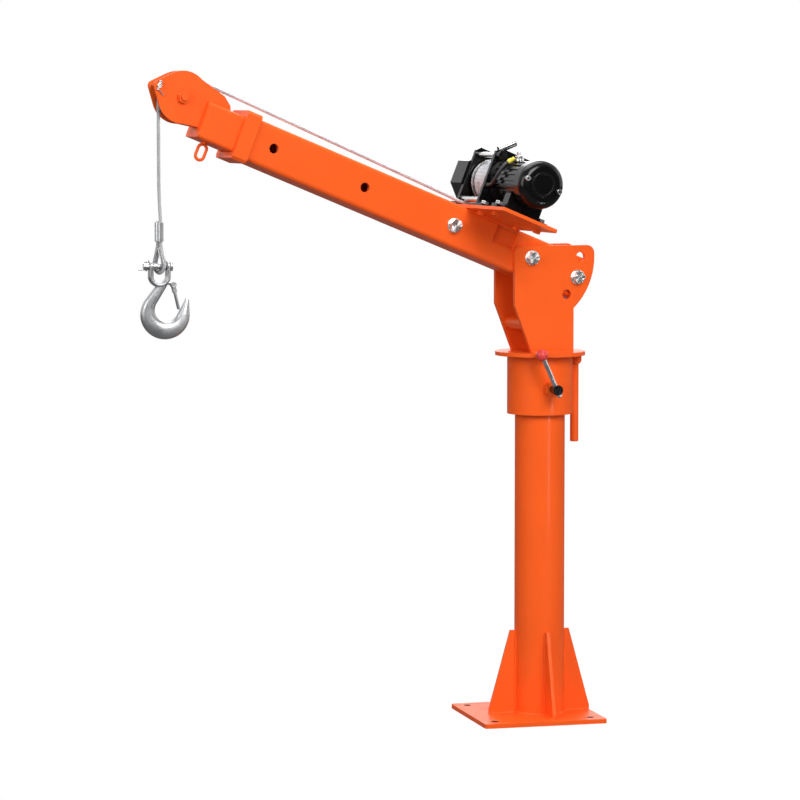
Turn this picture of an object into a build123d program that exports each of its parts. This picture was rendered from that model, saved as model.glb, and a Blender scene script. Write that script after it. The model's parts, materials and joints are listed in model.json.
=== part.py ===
"""Pickup truck crane: a bolted-down mast, a slewing head, a luffing telescopic boom and an electric winch.

Millimetres. The origin is the centre of the base plate's underside and +Z is up.
The base plate lies along X and Y. The boom points towards -X, turned by SLEW_REST about the mast.

Three local frames are used.
Head frame: X towards the boom, Y towards the motor side, Z up, origin on the mast axis at the ground.
Boom frame: X along the boom from the luffing pivot, Y towards the motor side, Z out of the boom's top.
Hook frame: the row's own axes, with the rope's fall as the line X = Y = 0.
"""

import math
import os

from build123d import *

# Rest pose
SLEW_REST = 7.4
LUFF_REST = 22.0
LUFF_STEP = 22.0

# Base and mast
BASE_SIDE = 224.0
BASE_THICK = 8.0
BASE_CORNER = 4.0
BASE_HOLE_R = 7.0
BASE_HOLE_EDGE = 24.0
MAST_SETBACK = 20.0
MAST_R = 44.5
MAST_WALL = 5.0
MAST_TOP = 642.0
GUSSET_THICK = 6.0
GUSSET_HEIGHT = 148.0
GUSSET_TOP_WIDTH = 10.0
GUSSET_FOOT_WIDTH = 49.0
GUSSET_TOE = 7.0
WASHER_THICK = 6.0
WASHER_BORE_R = 20.0

# Slewing sleeve and head
RUNNING_CLEARANCE = 0.05
SEAT_GAP = 0.2
OVERCUT = 1.0
SLEEVE_BUSH = 8.0
SLEEVE_WALL = 6.0
SLEEVE_LENGTH = 104.0
BUSH_LENGTH = 26.0
BUSH_INSET = 2.0
FLANGE_RIM = 12.5
FLANGE_THICK = 7.0
HEAD_PLATE_THICK = 8.0
HEAD_SIDE_CLEARANCE = 0.5
PIVOT_X = 38.0
PIVOT_ABOVE_FLANGE = 168.0
HEAD_FRONT = 32.0
HEAD_TOP = 20.5
HEAD_SECTOR_RIM = 27.0
HEAD_SHOULDER = 83.5
HEAD_FOOT_FRONT = 37.0
HEAD_FOOT_BACK = 44.0
HEAD_TOP_ROUND = 14.0
HEAD_CHAMFER = 8.0
SPACER_R = 11.0
SPACER_BORE_R = 6.5
SPACER_DROP = 118.0
SPACER_FORWARD = 4.0

# Bolts
PIVOT_BOLT_R = 8.0
BOLT_FLATS = 20.0
BOLT_HEAD = 10.0
BOLT_WASHER_R = 12.8
BOLT_WASHER = 2.5
BOLT_TAIL = 4.0
BUSH_WALL = 5.0
LOCK_RADIUS = 95.0
LOCK_HOLE_R = 8.5
LOCK_BOLT_R = 8.0

# Clamp screw and slewing handle
CLAMP_RISE = 48.0
CLAMP_TURN = 6.0
CLAMP_SCREW_R = 6.0
CLAMP_HOLE_CLEARANCE = 0.5
CLAMP_BOSS_R = 13.0
CLAMP_BOSS_LENGTH = 13.0
CLAMP_HEAD_R = 9.0
CLAMP_HEAD_LENGTH = 16.0
CLAMP_LEVER_STANDOFF = 22.0
CLAMP_TIP_GAP = 0.3
CLAMP_LEVER_R = 4.0
CLAMP_LEVER_TILT = 24.0
CLAMP_LEVER_LONG = 62.0
CLAMP_LEVER_SHORT = 10.5
CLAMP_KNOB_R = 5.0
CLAMP_KNOB_LENGTH = 2.5
CLAMP_BALL_R = 10.5
CLAMP_BALL_AT = 68.0
HANDLE_R = 7.5
HANDLE_LENGTH = 147.0
HANDLE_CLEARANCE = 1.5
HANDLE_PIN_R = 3.0
HANDLE_PIN_DROP = 10.0
HANDLE_PIN_OVERHANG = 1.0
HANDLE_LUG_THICK = 5.0
HANDLE_LUG_R = 8.0
HANDLE_SIDE_GAP = 0.3
HANDLE_END_ROUND = 2.0

# Boom and extension
BOOM_SIDE = 75.0
BOOM_WALL = 5.0
BOOM_CORNER = 8.0
BOOM_TAIL_RIM = 17.0
BOOM_REACH = 583.0
COLLAR_LENGTH = 27.0
COLLAR_WALL = 6.0
COLLAR_CHAMFER = 5.0
LINER_WALL = 4.0
LINER_INSET = 2.0
LINER_END = 112.0
WINDOW_START = 36.0
WINDOW_END = 78.0
WINDOW_FLOOR = 1.0
EXTENSION_LOCK_INSET = 28.0
EXTENSION_STEP = 180.0
EXTENSION_HOLES = 3
EXTENSION_CLEARANCE = 0.5
EXTENSION_WALL = 4.0
EXTENSION_CORNER = 6.0
EXTENSION_INNER_GAP = 16.0
EXTENSION_STANDOUT = 67.0
END_PLATE_THICK = 5.0

# Sheave head
SHEAVE_OVERHANG = 43.0
SHEAVE_Z = 22.7
ROPE_R = 3.0
SHEAVE_PITCH_R = 39.0
SHEAVE_RIM_RISE = 2.0
SHEAVE_WIDTH = 18.0
SHEAVE_HUB_R = 15.0
SHEAVE_WEB = 9.0
SHEAVE_RIM_DEPTH = 5.0
SHEAVE_LIP = 2.0
GROOVE_CLEARANCE = 0.3
CHEEK_THICK = 5.0
CHEEK_INSIDE = 24.0
CHEEK_RIM = 4.0
CHEEK_NOSE_R = 9.0
CHEEK_LAP = 45.0
CHEEK_HEEL = 9.0
CHEEK_SHOULDER_BACK = 25.0
CHEEK_SHOULDER_RISE = 20.0
CHEEK_FOOT_Z = -14.5
SHEAVE_BOLT_R = 6.0
SHEAVE_BOLT_FLATS = 19.0
SHEAVE_BOLT_HEAD = 7.5
KEEPER_GAP = 2.5
KEEPER_RISE = 2.3
KEEPER_R = 4.0
KEEPER_OVERHANG = 5.0
KEEPER_HEAD_R = 6.0
KEEPER_HEAD = 3.0
RING_BACK = 26.0
RING_WIRE_R = 2.75
RING_WIDTH = 15.5
RING_DROP = 27.5
RING_STEM = 4.0
RING_STEM_R = 4.5

# Winch
WINCH_X = 87.0
WINCH_HEIGHT = 62.5
WINCH_PLATE_THICK = 6.0
WINCH_PLATE_BACK = 52.0
WINCH_PLATE_FORWARD = 57.0
WINCH_PLATE_NEAR_RIM = 8.0
WINCH_PLATE_FAR_RIM = 15.0
WINCH_PLATE_CORNER = 4.0
FRAME_INSIDE = 80.0
FRAME_THICK = 8.0
FRAME_RISE = 50.0
FRAME_FRONT_CUT = 7.0
FRAME_REAR_CUT = 26.0
FRAME_BACK = 45.0
FRAME_FORWARD = 47.0
FRAME_FOOT = 20.0
FRAME_FOOT_THICK = 8.0
JOURNAL_R = 12.0
DRUM_CORE_R = 32.7
DRUM_FLANGE_R = 41.0
DRUM_FLANGE_THICK = 4.0
DRUM_INSIDE = 62.0
WIND_GAP = 0.3
WIND_PITCH = 6.5
WIND_TURNS = 8.5
RUN_SETBACK = 24.0
GUIDE_BAR_FORWARD = 39.0
GUIDE_BAR_RISE = 16.5
REAR_BAR_BACK = 37.0
TOP_BAR_INSET = 9.0
TOP_BAR_DROP = 12.5
TIE_BAR_R = 5.0
MOTOR_R = 37.0
MOTOR_LENGTH = 102.0
MOTOR_FLANGE_R = 42.0
MOTOR_FLANGE = 7.0
MOTOR_RIB_COUNT = 22
MOTOR_RIB_WIDTH = 5.0
MOTOR_RIB_HEIGHT = 2.5
MOTOR_RIB_ROOT = 2.0
CAP_R = 42.0
CAP_LENGTH = 34.0
CAP_ROUND = 14.0
CAP_RING_R = 21.0
CAP_RING_WIDTH = 3.0
CAP_RING_HEIGHT = 1.5
CAP_SCREW_AT = 32.0
CAP_SCREW_R = 4.5
CAP_SCREW_HEAD = 3.5
CAP_SCREW_SINK = 4.0
POST_INSET = 60.0
POST_SPREAD = 26.0
POST_BASE_R = 8.0
POST_BASE = 3.0
POST_NUT_FLATS = 13.0
POST_NUT = 6.0
POST_STUD_R = 3.5
POST_STUD = 7.0
MOTOR_FOOT_INSET = 20.0
MOTOR_FOOT_DEPTH = 22.0
MOTOR_FOOT_WIDTH = 66.0
MOTOR_FOOT_HEIGHT = 34.0
FOOT_FLANGE = 18.0
GEAR_LENGTH = 62.0
GEAR_FLATS = 100.0
GEAR_BEVEL = 14.0
COVER_R = 36.0
COVER_THICK = 6.0
COVER_ROUND = 3.0
FOOT_BOLT_R = 4.0
FOOT_BOLT_FLATS = 13.0
FOOT_BOLT_HEAD = 6.0
FOOT_BOLT_EDGE = 10.0
CLUTCH_HUB_R = 8.0
CLUTCH_HUB = 13.0
CLUTCH_PIN_R = 4.0
CLUTCH_GRIP_R = 6.3
CLUTCH_GRIP = 33.0
CLUTCH_GRIP_ROUND = 2.0
CLUTCH_GRIP_RISE = 43.0
CLUTCH_GRIP_OFFSET = 10.9
CLUTCH_GRIP_BACK = 1.5
GLAND_R = 3.8
GLAND = 4.0
LEAD_R = 3.0
LEAD_CENTRE_R = 46.0
LEAD_ROUTE = [(-25.0, 0.0), (-25.0, 15.0), (-10.0, 30.0), (12.0, 37.5), (32.0, 38.0), (52.0, 38.0)]

# Fall and hook
FALL_LENGTH = 211.0
FERRULE_LENGTH = 33.0
FERRULE_R = 5.2
FERRULE_TURN = 25.0
STRAND_OFFSET = 4.0
PIN_DROP = 75.0
PIN_SEAT_GAP = 0.7
EYE_R = 10.0
THIMBLE_WALL = 1.5
THIMBLE_WIDTH = 7.0
THIMBLE_POINT_R = 0.8
THIMBLE_TOP_GAP = 14.0
EYE_STRAIGHT = 8.0
EYE_BEND_R = 20.0
CLEVIS_PIN_R = 6.0
CLEVIS_PIN_HEAD_R = 8.5
CLEVIS_PIN_HEAD = 4.0
CLEVIS_PIN_TAIL = 9.0
CLEVIS_GAP = 22.0
CLEVIS_EAR = 7.5
CLEVIS_EAR_R = 11.0
CLEVIS_BEND_DROP = 17.0
HOOK_THICK = 20.0
HOOK_ROUND = 3.0
BOWL_X = 9.5
BOWL_DROP = 82.0
BOWL_R = 42.5
THROAT_X = 12.0
THROAT_DROP = 73.8
THROAT_R = 20.4
TIP_X = 47.5
TIP_DROP = 58.0
TIP_WIDTH = 7.0
NECK_X = 7.0
NECK_WIDTH = 18.0
NECK_DROP = 33.0
LATCH_X = 23.5
LATCH_DROP = 31.0
LATCH_PIN_R = 2.5
LATCH_BOSS_R = 5.0
LATCH_LUG_WIDTH = 8.0
LATCH_SIDE_GAP = 0.3
LATCH_FORK_THICK = 2.7
LATCH_FORK = 14.0
LATCH_THICK = 3.0
LATCH_LENGTH = 43.5
LATCH_LEAN = 13.0
SPLIT_PIN_R = 1.2
SPLIT_PIN_LENGTH = 16.0

# Derived places
BASE_HOLE_SPACING = BASE_SIDE - 2 * BASE_HOLE_EDGE
FLANGE_BOTTOM = MAST_TOP + WASHER_THICK
FLANGE_TOP = FLANGE_BOTTOM + FLANGE_THICK
SLEEVE_BOTTOM = FLANGE_BOTTOM - SLEEVE_LENGTH
SLEEVE_BORE_R = MAST_R + SLEEVE_BUSH
SLEEVE_R = SLEEVE_BORE_R + SLEEVE_WALL
HANDLE_X = -(SLEEVE_R + HANDLE_CLEARANCE + HANDLE_R)
HANDLE_PIN_Z = FLANGE_BOTTOM - HANDLE_PIN_DROP
FLANGE_R = FLANGE_RIM - HANDLE_X
PIVOT_Z = FLANGE_TOP + PIVOT_ABOVE_FLANGE
HEAD_SECTOR_R = LOCK_RADIUS + HEAD_SECTOR_RIM
CLAMP_HEIGHT = SLEEVE_BOTTOM + CLAMP_RISE
CLAMP_BOSS_END = SLEEVE_R + CLAMP_BOSS_LENGTH
CLAMP_LEVER_Y = CLAMP_BOSS_END + CLAMP_LEVER_STANDOFF
BOOM_HALF = BOOM_SIDE / 2
BOOM_TAIL = LOCK_RADIUS + BOOM_TAIL_RIM
HEAD_INNER = BOOM_HALF + HEAD_SIDE_CLEARANCE
HEAD_OUTER = HEAD_INNER + HEAD_PLATE_THICK
LINER_SIDE = BOOM_SIDE - 2 * BOOM_WALL
EXTENSION_SIDE = LINER_SIDE - 2 * EXTENSION_CLEARANCE
EXTENSION_HALF = EXTENSION_SIDE / 2
EXTENSION_INNER_END = LINER_END + EXTENSION_INNER_GAP
EXTENSION_LOCK_AT = EXTENSION_INNER_END + EXTENSION_LOCK_INSET
EXTENSION_REACH = BOOM_REACH + EXTENSION_STANDOUT
SHEAVE_X = EXTENSION_REACH + SHEAVE_OVERHANG
SHEAVE_RIM_R = SHEAVE_PITCH_R + SHEAVE_RIM_RISE
CHEEK_R = SHEAVE_RIM_R + CHEEK_RIM
CHEEK_OUTER = CHEEK_INSIDE / 2 + CHEEK_THICK
CHEEK_BACK = EXTENSION_REACH - CHEEK_LAP
CHEEK_SHOULDER_X = EXTENSION_REACH - CHEEK_SHOULDER_BACK
CHEEK_SHOULDER_Z = EXTENSION_HALF + CHEEK_SHOULDER_RISE
KEEPER_X = SHEAVE_X + SHEAVE_RIM_R + KEEPER_GAP + KEEPER_R
KEEPER_Z = SHEAVE_Z + KEEPER_RISE
RING_X = EXTENSION_REACH - RING_BACK
DECK = BOOM_HALF + WINCH_PLATE_THICK
WINCH_Z = DECK + WINCH_HEIGHT
FRAME_OUTER = FRAME_INSIDE / 2 + FRAME_THICK
FRAME_REAR = WINCH_X - FRAME_BACK
FRAME_FRONT = WINCH_X + FRAME_FORWARD
MOTOR_END = FRAME_OUTER + MOTOR_LENGTH
RIB_TIP_R = math.hypot(MOTOR_R + MOTOR_RIB_HEIGHT, MOTOR_RIB_WIDTH / 2)
POST_AT = MOTOR_END - POST_INSET
MOTOR_FOOT_AT = MOTOR_END - MOTOR_FOOT_INSET
WINCH_PLATE_START = WINCH_X - WINCH_PLATE_BACK
WINCH_PLATE_END = WINCH_X + WINCH_PLATE_FORWARD
WINCH_PLATE_NEAR = MOTOR_END + CAP_LENGTH + WINCH_PLATE_NEAR_RIM
WINCH_PLATE_FAR = FRAME_OUTER + GEAR_LENGTH + WINCH_PLATE_FAR_RIM
WIND_PITCH_R = DRUM_CORE_R + ROPE_R + WIND_GAP
GUIDE_BAR_X = WINCH_X + GUIDE_BAR_FORWARD
GUIDE_BAR_Z = DECK + GUIDE_BAR_RISE
REAR_BAR_X = WINCH_X - REAR_BAR_BACK
FRAME_TOP = WINCH_Z + FRAME_RISE
TOP_BAR_X = FRAME_FRONT - TOP_BAR_INSET
TOP_BAR_Z = FRAME_TOP - TOP_BAR_DROP

HEAD = Pos(MAST_SETBACK, 0, 0) * Rot(0, 0, 180 + SLEW_REST)
BOOM = HEAD * Pos(PIVOT_X, 0, PIVOT_Z) * Rot(0, -LUFF_REST, 0)

CENTRED = (Align.CENTER, Align.CENTER, Align.MIN)


def boom_to_head(x, z):
    """The head-frame X and Z of a point of the boom's middle plane."""
    turn = math.radians(LUFF_REST)
    return (
        PIVOT_X + x * math.cos(turn) - z * math.sin(turn),
        PIVOT_Z + x * math.sin(turn) + z * math.cos(turn),
    )


SHEAVE_HEAD_X, SHEAVE_HEAD_Z = boom_to_head(SHEAVE_X, SHEAVE_Z)
FALL_TOP = SHEAVE_HEAD_Z
HOOK = HEAD * Pos(SHEAVE_HEAD_X + SHEAVE_PITCH_R, 0, FALL_TOP) * Rot(0, 0, -180 - SLEW_REST)
FERRULE_TOP = -FALL_LENGTH
PIN_Z = FERRULE_TOP - PIN_DROP


def rod_x(radius, start, end, y=0.0, z=0.0):
    """A round bar along X."""
    return Pos(start, y, z) * Rot(0, 90, 0) * Cylinder(radius, end - start, align=CENTRED)


def rod_y(radius, start, end, x=0.0, z=0.0):
    """A round bar along Y."""
    return Pos(x, start, z) * Rot(-90, 0, 0) * Cylinder(radius, end - start, align=CENTRED)


def rod_z(radius, start, end, x=0.0, y=0.0):
    """A round bar along Z."""
    return Pos(x, y, start) * Cylinder(radius, end - start, align=CENTRED)


def tube_y(outer, inner, start, end, x=0.0, z=0.0):
    """A round tube along Y."""
    return rod_y(outer, start, end, x, z) - rod_y(inner, start - OVERCUT, end + OVERCUT, x, z)


def plate_y(sketch, start, end):
    """A plate of a sketch drawn in X and Z, from Y = start to Y = end."""
    return extrude(Plane.XZ.offset(-end) * sketch, amount=end - start)


def hex_y(flats, start, end, x=0.0, z=0.0):
    """A hexagonal prism along Y."""
    outline = Pos(x, z) * RegularPolygon(flats / 2, 6, major_radius=False)
    return plate_y(outline, start, end)


def hex_z(flats, start, end, x=0.0, y=0.0):
    """A hexagonal prism along Z."""
    return Pos(x, y, start) * extrude(RegularPolygon(flats / 2, 6, major_radius=False), amount=end - start)


def box_between(x0, x1, y0, y1, z0, z1):
    """A box given by its limits."""
    return Pos((x0 + x1) / 2, (y0 + y1) / 2, (z0 + z1) / 2) * Box(x1 - x0, y1 - y0, z1 - z0)


def square_section(side, corner, start, end):
    """A square bar with rounded corners along X."""
    return extrude(Plane.YZ.offset(start) * RectangleRounded(side, side, corner), amount=end - start)


def square_tube(side, wall, corner, start, end):
    """A square hollow section along X."""
    bore = square_section(side - 2 * wall, max(corner - wall, 0.5), start - OVERCUT, end + OVERCUT)
    return square_section(side, corner, start, end) - bore


def mirrored(solid):
    """The same piece on the other side of the middle plane Y = 0."""
    return mirror(solid, about=Plane.XZ)


def bolt_head(face, side, x, z, flats=BOLT_FLATS, head=BOLT_HEAD, washer_r=BOLT_WASHER_R):
    """A washer and a hexagon against the plane Y = face, on the side given by its sign."""
    if side > 0:
        washer = rod_y(washer_r, face, face + BOLT_WASHER, x, z)
        return washer + hex_y(flats, face + BOLT_WASHER, face + BOLT_WASHER + head, x, z)
    return mirrored(bolt_head(-face, 1, x, z, flats, head, washer_r))


def base_parts():
    """The plate that is bolted down, its four gussets, the mast tube and the thrust washer on its top."""
    plate = extrude(RectangleRounded(BASE_SIDE, BASE_SIDE, BASE_CORNER), amount=BASE_THICK)
    for hole in GridLocations(BASE_HOLE_SPACING, BASE_HOLE_SPACING, 2, 2):
        plate -= hole * Cylinder(BASE_HOLE_R, 4 * BASE_THICK)
    mast = rod_z(MAST_R, BASE_THICK, MAST_TOP, MAST_SETBACK)
    mast -= rod_z(MAST_R - MAST_WALL, BASE_THICK - OVERCUT, MAST_TOP + OVERCUT, MAST_SETBACK)
    foot = MAST_R + GUSSET_FOOT_WIDTH
    profile = Polyline(
        (MAST_R, BASE_THICK),
        (foot, BASE_THICK),
        (foot, BASE_THICK + GUSSET_TOE),
        (MAST_R + GUSSET_TOP_WIDTH, BASE_THICK + GUSSET_HEIGHT),
        (MAST_R, BASE_THICK + GUSSET_HEIGHT),
        close=True,
    )
    gusset = plate_y(make_face(profile), -GUSSET_THICK / 2, GUSSET_THICK / 2)
    gussets = [Pos(MAST_SETBACK, 0, 0) * Rot(0, 0, 90 * turn) * gusset for turn in range(4)]
    washer = rod_z(MAST_R, MAST_TOP, FLANGE_BOTTOM, MAST_SETBACK)
    washer -= rod_z(WASHER_BORE_R, MAST_TOP - OVERCUT, FLANGE_BOTTOM + OVERCUT, MAST_SETBACK)
    return {
        "base_plate": [plate],
        "base_gussets": gussets,
        "mast_tube": [mast],
        "thrust_washer": [washer],
    }


def head_outline():
    """A head plate in the head frame's X and Z: a sector about the pivot that runs down to a narrow foot."""
    front = PIVOT_X + HEAD_FRONT
    top = PIVOT_Z + HEAD_TOP
    back = -HEAD_FOOT_BACK
    shoulder = PIVOT_Z - HEAD_SHOULDER
    reach_top = math.sqrt(HEAD_SECTOR_R**2 - HEAD_TOP**2)
    drop_back = math.sqrt(HEAD_SECTOR_R**2 - (PIVOT_X - back) ** 2)
    middle = math.radians(180 + 0.5 * math.degrees(math.asin(drop_back / HEAD_SECTOR_R)))
    arc_middle = (
        PIVOT_X + HEAD_SECTOR_R * math.cos(middle),
        PIVOT_Z + HEAD_SECTOR_R * math.sin(middle),
    )
    with BuildSketch() as outline:
        with BuildLine():
            Polyline(
                (PIVOT_X - reach_top, top),
                (front - HEAD_CHAMFER, top),
                (front, top - HEAD_CHAMFER),
                (front, shoulder),
                (HEAD_FOOT_FRONT, FLANGE_TOP),
                (back, FLANGE_TOP),
                (back, PIVOT_Z - drop_back),
            )
            ThreePointArc((back, PIVOT_Z - drop_back), arc_middle, (PIVOT_X - reach_top, top))
        make_face()
        corner = outline.vertices().sort_by_distance((PIVOT_X - reach_top, top))[0]
        fillet(corner, HEAD_TOP_ROUND)
    return outline.sketch


def lock_places():
    """The head-frame X and Z of the luffing lock's three holes, level boom first."""
    places = []
    for step in range(3):
        turn = math.radians(step * LUFF_STEP)
        places.append((PIVOT_X - LOCK_RADIUS * math.cos(turn), PIVOT_Z - LOCK_RADIUS * math.sin(turn)))
    return places


def head_parts():
    """The sleeve that turns on the mast, and the two plates that carry the boom."""
    sleeve = rod_z(SLEEVE_R, SLEEVE_BOTTOM, FLANGE_BOTTOM)
    sleeve -= rod_z(SLEEVE_BORE_R, SLEEVE_BOTTOM - OVERCUT, FLANGE_BOTTOM + OVERCUT)
    screw_hole = rod_y(CLAMP_SCREW_R + CLAMP_HOLE_CLEARANCE, 0, SLEEVE_R + OVERCUT)
    screw_hole = Pos(0, 0, CLAMP_HEIGHT) * Rot(0, 0, -CLAMP_TURN) * screw_hole
    sleeve -= screw_hole
    flange = rod_z(FLANGE_R, FLANGE_BOTTOM, FLANGE_TOP)
    bushes = []
    for bottom in (SLEEVE_BOTTOM + BUSH_INSET, FLANGE_BOTTOM - BUSH_INSET - BUSH_LENGTH):
        bush = rod_z(SLEEVE_BORE_R, bottom, bottom + BUSH_LENGTH)
        bore_top = bottom + BUSH_LENGTH + OVERCUT
        bushes.append(bush - rod_z(MAST_R + RUNNING_CLEARANCE, bottom - OVERCUT, bore_top))
    spacer_x = PIVOT_X + SPACER_FORWARD
    spacer_z = PIVOT_Z - SPACER_DROP
    plate = plate_y(head_outline(), HEAD_INNER, HEAD_OUTER)
    plate -= rod_y(PIVOT_BOLT_R, HEAD_INNER - OVERCUT, HEAD_OUTER + OVERCUT, PIVOT_X, PIVOT_Z)
    for x, z in lock_places():
        plate -= rod_y(LOCK_HOLE_R, HEAD_INNER - OVERCUT, HEAD_OUTER + OVERCUT, x, z)
    spacer = tube_y(SPACER_R, SPACER_BORE_R, -HEAD_INNER, HEAD_INNER, spacer_x, spacer_z)
    grip_end = HEAD_OUTER + BOLT_WASHER + BOLT_HEAD + BOLT_TAIL
    pivot_bolt = rod_y(PIVOT_BOLT_R, -grip_end, HEAD_OUTER, PIVOT_X, PIVOT_Z)
    pivot_bolt += bolt_head(HEAD_OUTER, 1, PIVOT_X, PIVOT_Z)
    nut_bore = rod_y(PIVOT_BOLT_R, -grip_end - OVERCUT, 0, PIVOT_X, PIVOT_Z)
    pivot_nut = bolt_head(-HEAD_OUTER, -1, PIVOT_X, PIVOT_Z) - nut_bore
    lock_x, lock_z = lock_places()[1]
    lock_head = bolt_head(HEAD_OUTER, 1, lock_x, lock_z)
    lock_head += rod_y(LOCK_BOLT_R, HEAD_INNER + SEAT_GAP, HEAD_OUTER, lock_x, lock_z)
    lock_nut = bolt_head(-HEAD_OUTER, -1, lock_x, lock_z)
    lock_nut += rod_y(LOCK_BOLT_R, -grip_end, -HEAD_INNER - SEAT_GAP, lock_x, lock_z)
    return {
        "slew_sleeve": [sleeve],
        "slew_bush_lower": [bushes[0]],
        "slew_bush_upper": [bushes[1]],
        "head_flange": [flange],
        "head_plate_near": [plate],
        "head_plate_far": [mirrored(plate)],
        "head_spacer": [spacer],
        "pivot_bolt": [pivot_bolt],
        "pivot_nut": [pivot_nut],
        "luff_lock_bolt": [lock_head, lock_nut],
    }


def clamp_parts():
    """The clamp screw that holds the slewing head, its cross lever and ball, and its boss."""
    boss = tube_y(CLAMP_BOSS_R, CLAMP_SCREW_R + RUNNING_CLEARANCE, 0, CLAMP_BOSS_END)
    boss -= Pos(0, 0, -2 * CLAMP_BOSS_R) * Cylinder(SLEEVE_R, 4 * CLAMP_BOSS_R, align=CENTRED)
    head_start = CLAMP_LEVER_Y - CLAMP_HEAD_LENGTH / 2
    head_end = CLAMP_LEVER_Y + CLAMP_HEAD_LENGTH / 2
    screw = rod_y(CLAMP_SCREW_R, MAST_R + CLAMP_TIP_GAP, head_start)
    screw += rod_y(CLAMP_HEAD_R, head_start, head_end)
    lever_axis = Pos(0, CLAMP_LEVER_Y, 0) * Rot(0, CLAMP_LEVER_TILT, 0)
    lever = lever_axis * rod_z(CLAMP_LEVER_R, -CLAMP_LEVER_SHORT, CLAMP_LEVER_LONG)
    screw -= lever_axis * rod_z(CLAMP_LEVER_R, -2 * CLAMP_HEAD_R, 2 * CLAMP_HEAD_R)
    lever += lever_axis * rod_z(CLAMP_KNOB_R, -CLAMP_LEVER_SHORT - CLAMP_KNOB_LENGTH, -CLAMP_LEVER_SHORT)
    ball = lever_axis * (
        Pos(0, 0, CLAMP_BALL_AT) * Sphere(CLAMP_BALL_R) - rod_z(CLAMP_LEVER_R, 0, CLAMP_LEVER_LONG)
    )
    place = Pos(0, 0, CLAMP_HEIGHT) * Rot(0, 0, -CLAMP_TURN)
    made = {"clamp_boss": boss, "clamp_screw": screw, "clamp_lever": lever, "clamp_ball": ball}
    return {name: [place * solid] for name, solid in made.items()}


def handle_parts():
    """The fold-down slewing handle at the back of the sleeve, and its lugs and pin under the flange."""
    lug_start = HANDLE_R + HANDLE_SIDE_GAP
    lug_end = lug_start + HANDLE_LUG_THICK
    lug = rod_y(HANDLE_LUG_R, lug_start, lug_end, HANDLE_X, HANDLE_PIN_Z)
    lug += box_between(
        HANDLE_X - HANDLE_LUG_R, HANDLE_X + HANDLE_LUG_R, lug_start, lug_end, HANDLE_PIN_Z, FLANGE_BOTTOM
    )
    lug -= rod_y(HANDLE_PIN_R, lug_start - OVERCUT, lug_end + OVERCUT, HANDLE_X, HANDLE_PIN_Z)
    pin_end = lug_end + HANDLE_PIN_OVERHANG
    pin = rod_y(HANDLE_PIN_R, -pin_end, pin_end, HANDLE_X, HANDLE_PIN_Z)
    handle = rod_z(HANDLE_R, HANDLE_PIN_Z - HANDLE_LENGTH, HANDLE_PIN_Z, HANDLE_X)
    handle = fillet(handle.edges().sort_by(Axis.Z)[0], HANDLE_END_ROUND)
    handle += Pos(HANDLE_X, 0, HANDLE_PIN_Z) * Sphere(HANDLE_R)
    bore_end = HANDLE_R + OVERCUT
    handle -= rod_y(HANDLE_PIN_R + RUNNING_CLEARANCE, -bore_end, bore_end, HANDLE_X, HANDLE_PIN_Z)
    return {"handle_hinge": [lug, mirrored(lug), pin], "slew_handle": [handle]}


def boom_parts():
    """The outer boom: a square tube with a lined root, two bushes, and a collar at its open end."""
    tube = square_tube(BOOM_SIDE, BOOM_WALL, BOOM_CORNER, -BOOM_TAIL, BOOM_REACH)
    liner = square_tube(LINER_SIDE, LINER_WALL, BOOM_CORNER - BOOM_WALL, LINER_INSET - BOOM_TAIL, LINER_END)
    bush_r = PIVOT_BOLT_R + BUSH_WALL
    pivot_bush = tube_y(bush_r, PIVOT_BOLT_R + RUNNING_CLEARANCE, -BOOM_HALF, BOOM_HALF)
    tail_bush = tube_y(bush_r, LOCK_HOLE_R, -BOOM_HALF, BOOM_HALF, -LOCK_RADIUS)
    for x in (0, -LOCK_RADIUS):
        bore = rod_y(bush_r, -BOOM_SIDE, BOOM_SIDE, x)
        tube -= bore
        liner -= bore
    for step in range(EXTENSION_HOLES):
        tube -= rod_y(LOCK_HOLE_R, -BOOM_SIDE, BOOM_SIDE, EXTENSION_LOCK_AT + step * EXTENSION_STEP)
    window = box_between(
        WINDOW_START, WINDOW_END, LINER_SIDE / 2, BOOM_SIDE, WINDOW_FLOOR, BOOM_HALF - BOOM_WALL
    )
    tube = tube - window - mirrored(window)
    collar_side = BOOM_SIDE + 2 * COLLAR_WALL
    collar_start = BOOM_REACH - COLLAR_LENGTH
    collar_end = Plane.YZ.offset(collar_start) * Rectangle(collar_side, collar_side)
    collar = extrude(collar_end, amount=COLLAR_LENGTH)
    collar = chamfer(collar.edges().filter_by(Axis.X), COLLAR_CHAMFER)
    collar -= square_section(BOOM_SIDE, BOOM_CORNER, collar_start - OVERCUT, BOOM_REACH + OVERCUT)
    lock_head = bolt_head(BOOM_HALF, 1, EXTENSION_LOCK_AT, 0)
    lock_head += rod_y(LOCK_BOLT_R, BOOM_HALF - BOOM_WALL, BOOM_HALF, EXTENSION_LOCK_AT)
    lock_nut = mirrored(lock_head)
    lock_end = BOOM_HALF + BOLT_WASHER + BOLT_HEAD + BOLT_TAIL
    lock_nut += rod_y(LOCK_BOLT_R, -lock_end, -BOOM_HALF, EXTENSION_LOCK_AT)
    return {
        "boom_tube": [tube],
        "root_liner": [liner],
        "pivot_bush": [pivot_bush],
        "tail_bush": [tail_bush],
        "boom_collar": [collar],
        "extension_lock_bolt": [lock_head, lock_nut],
    }


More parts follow.
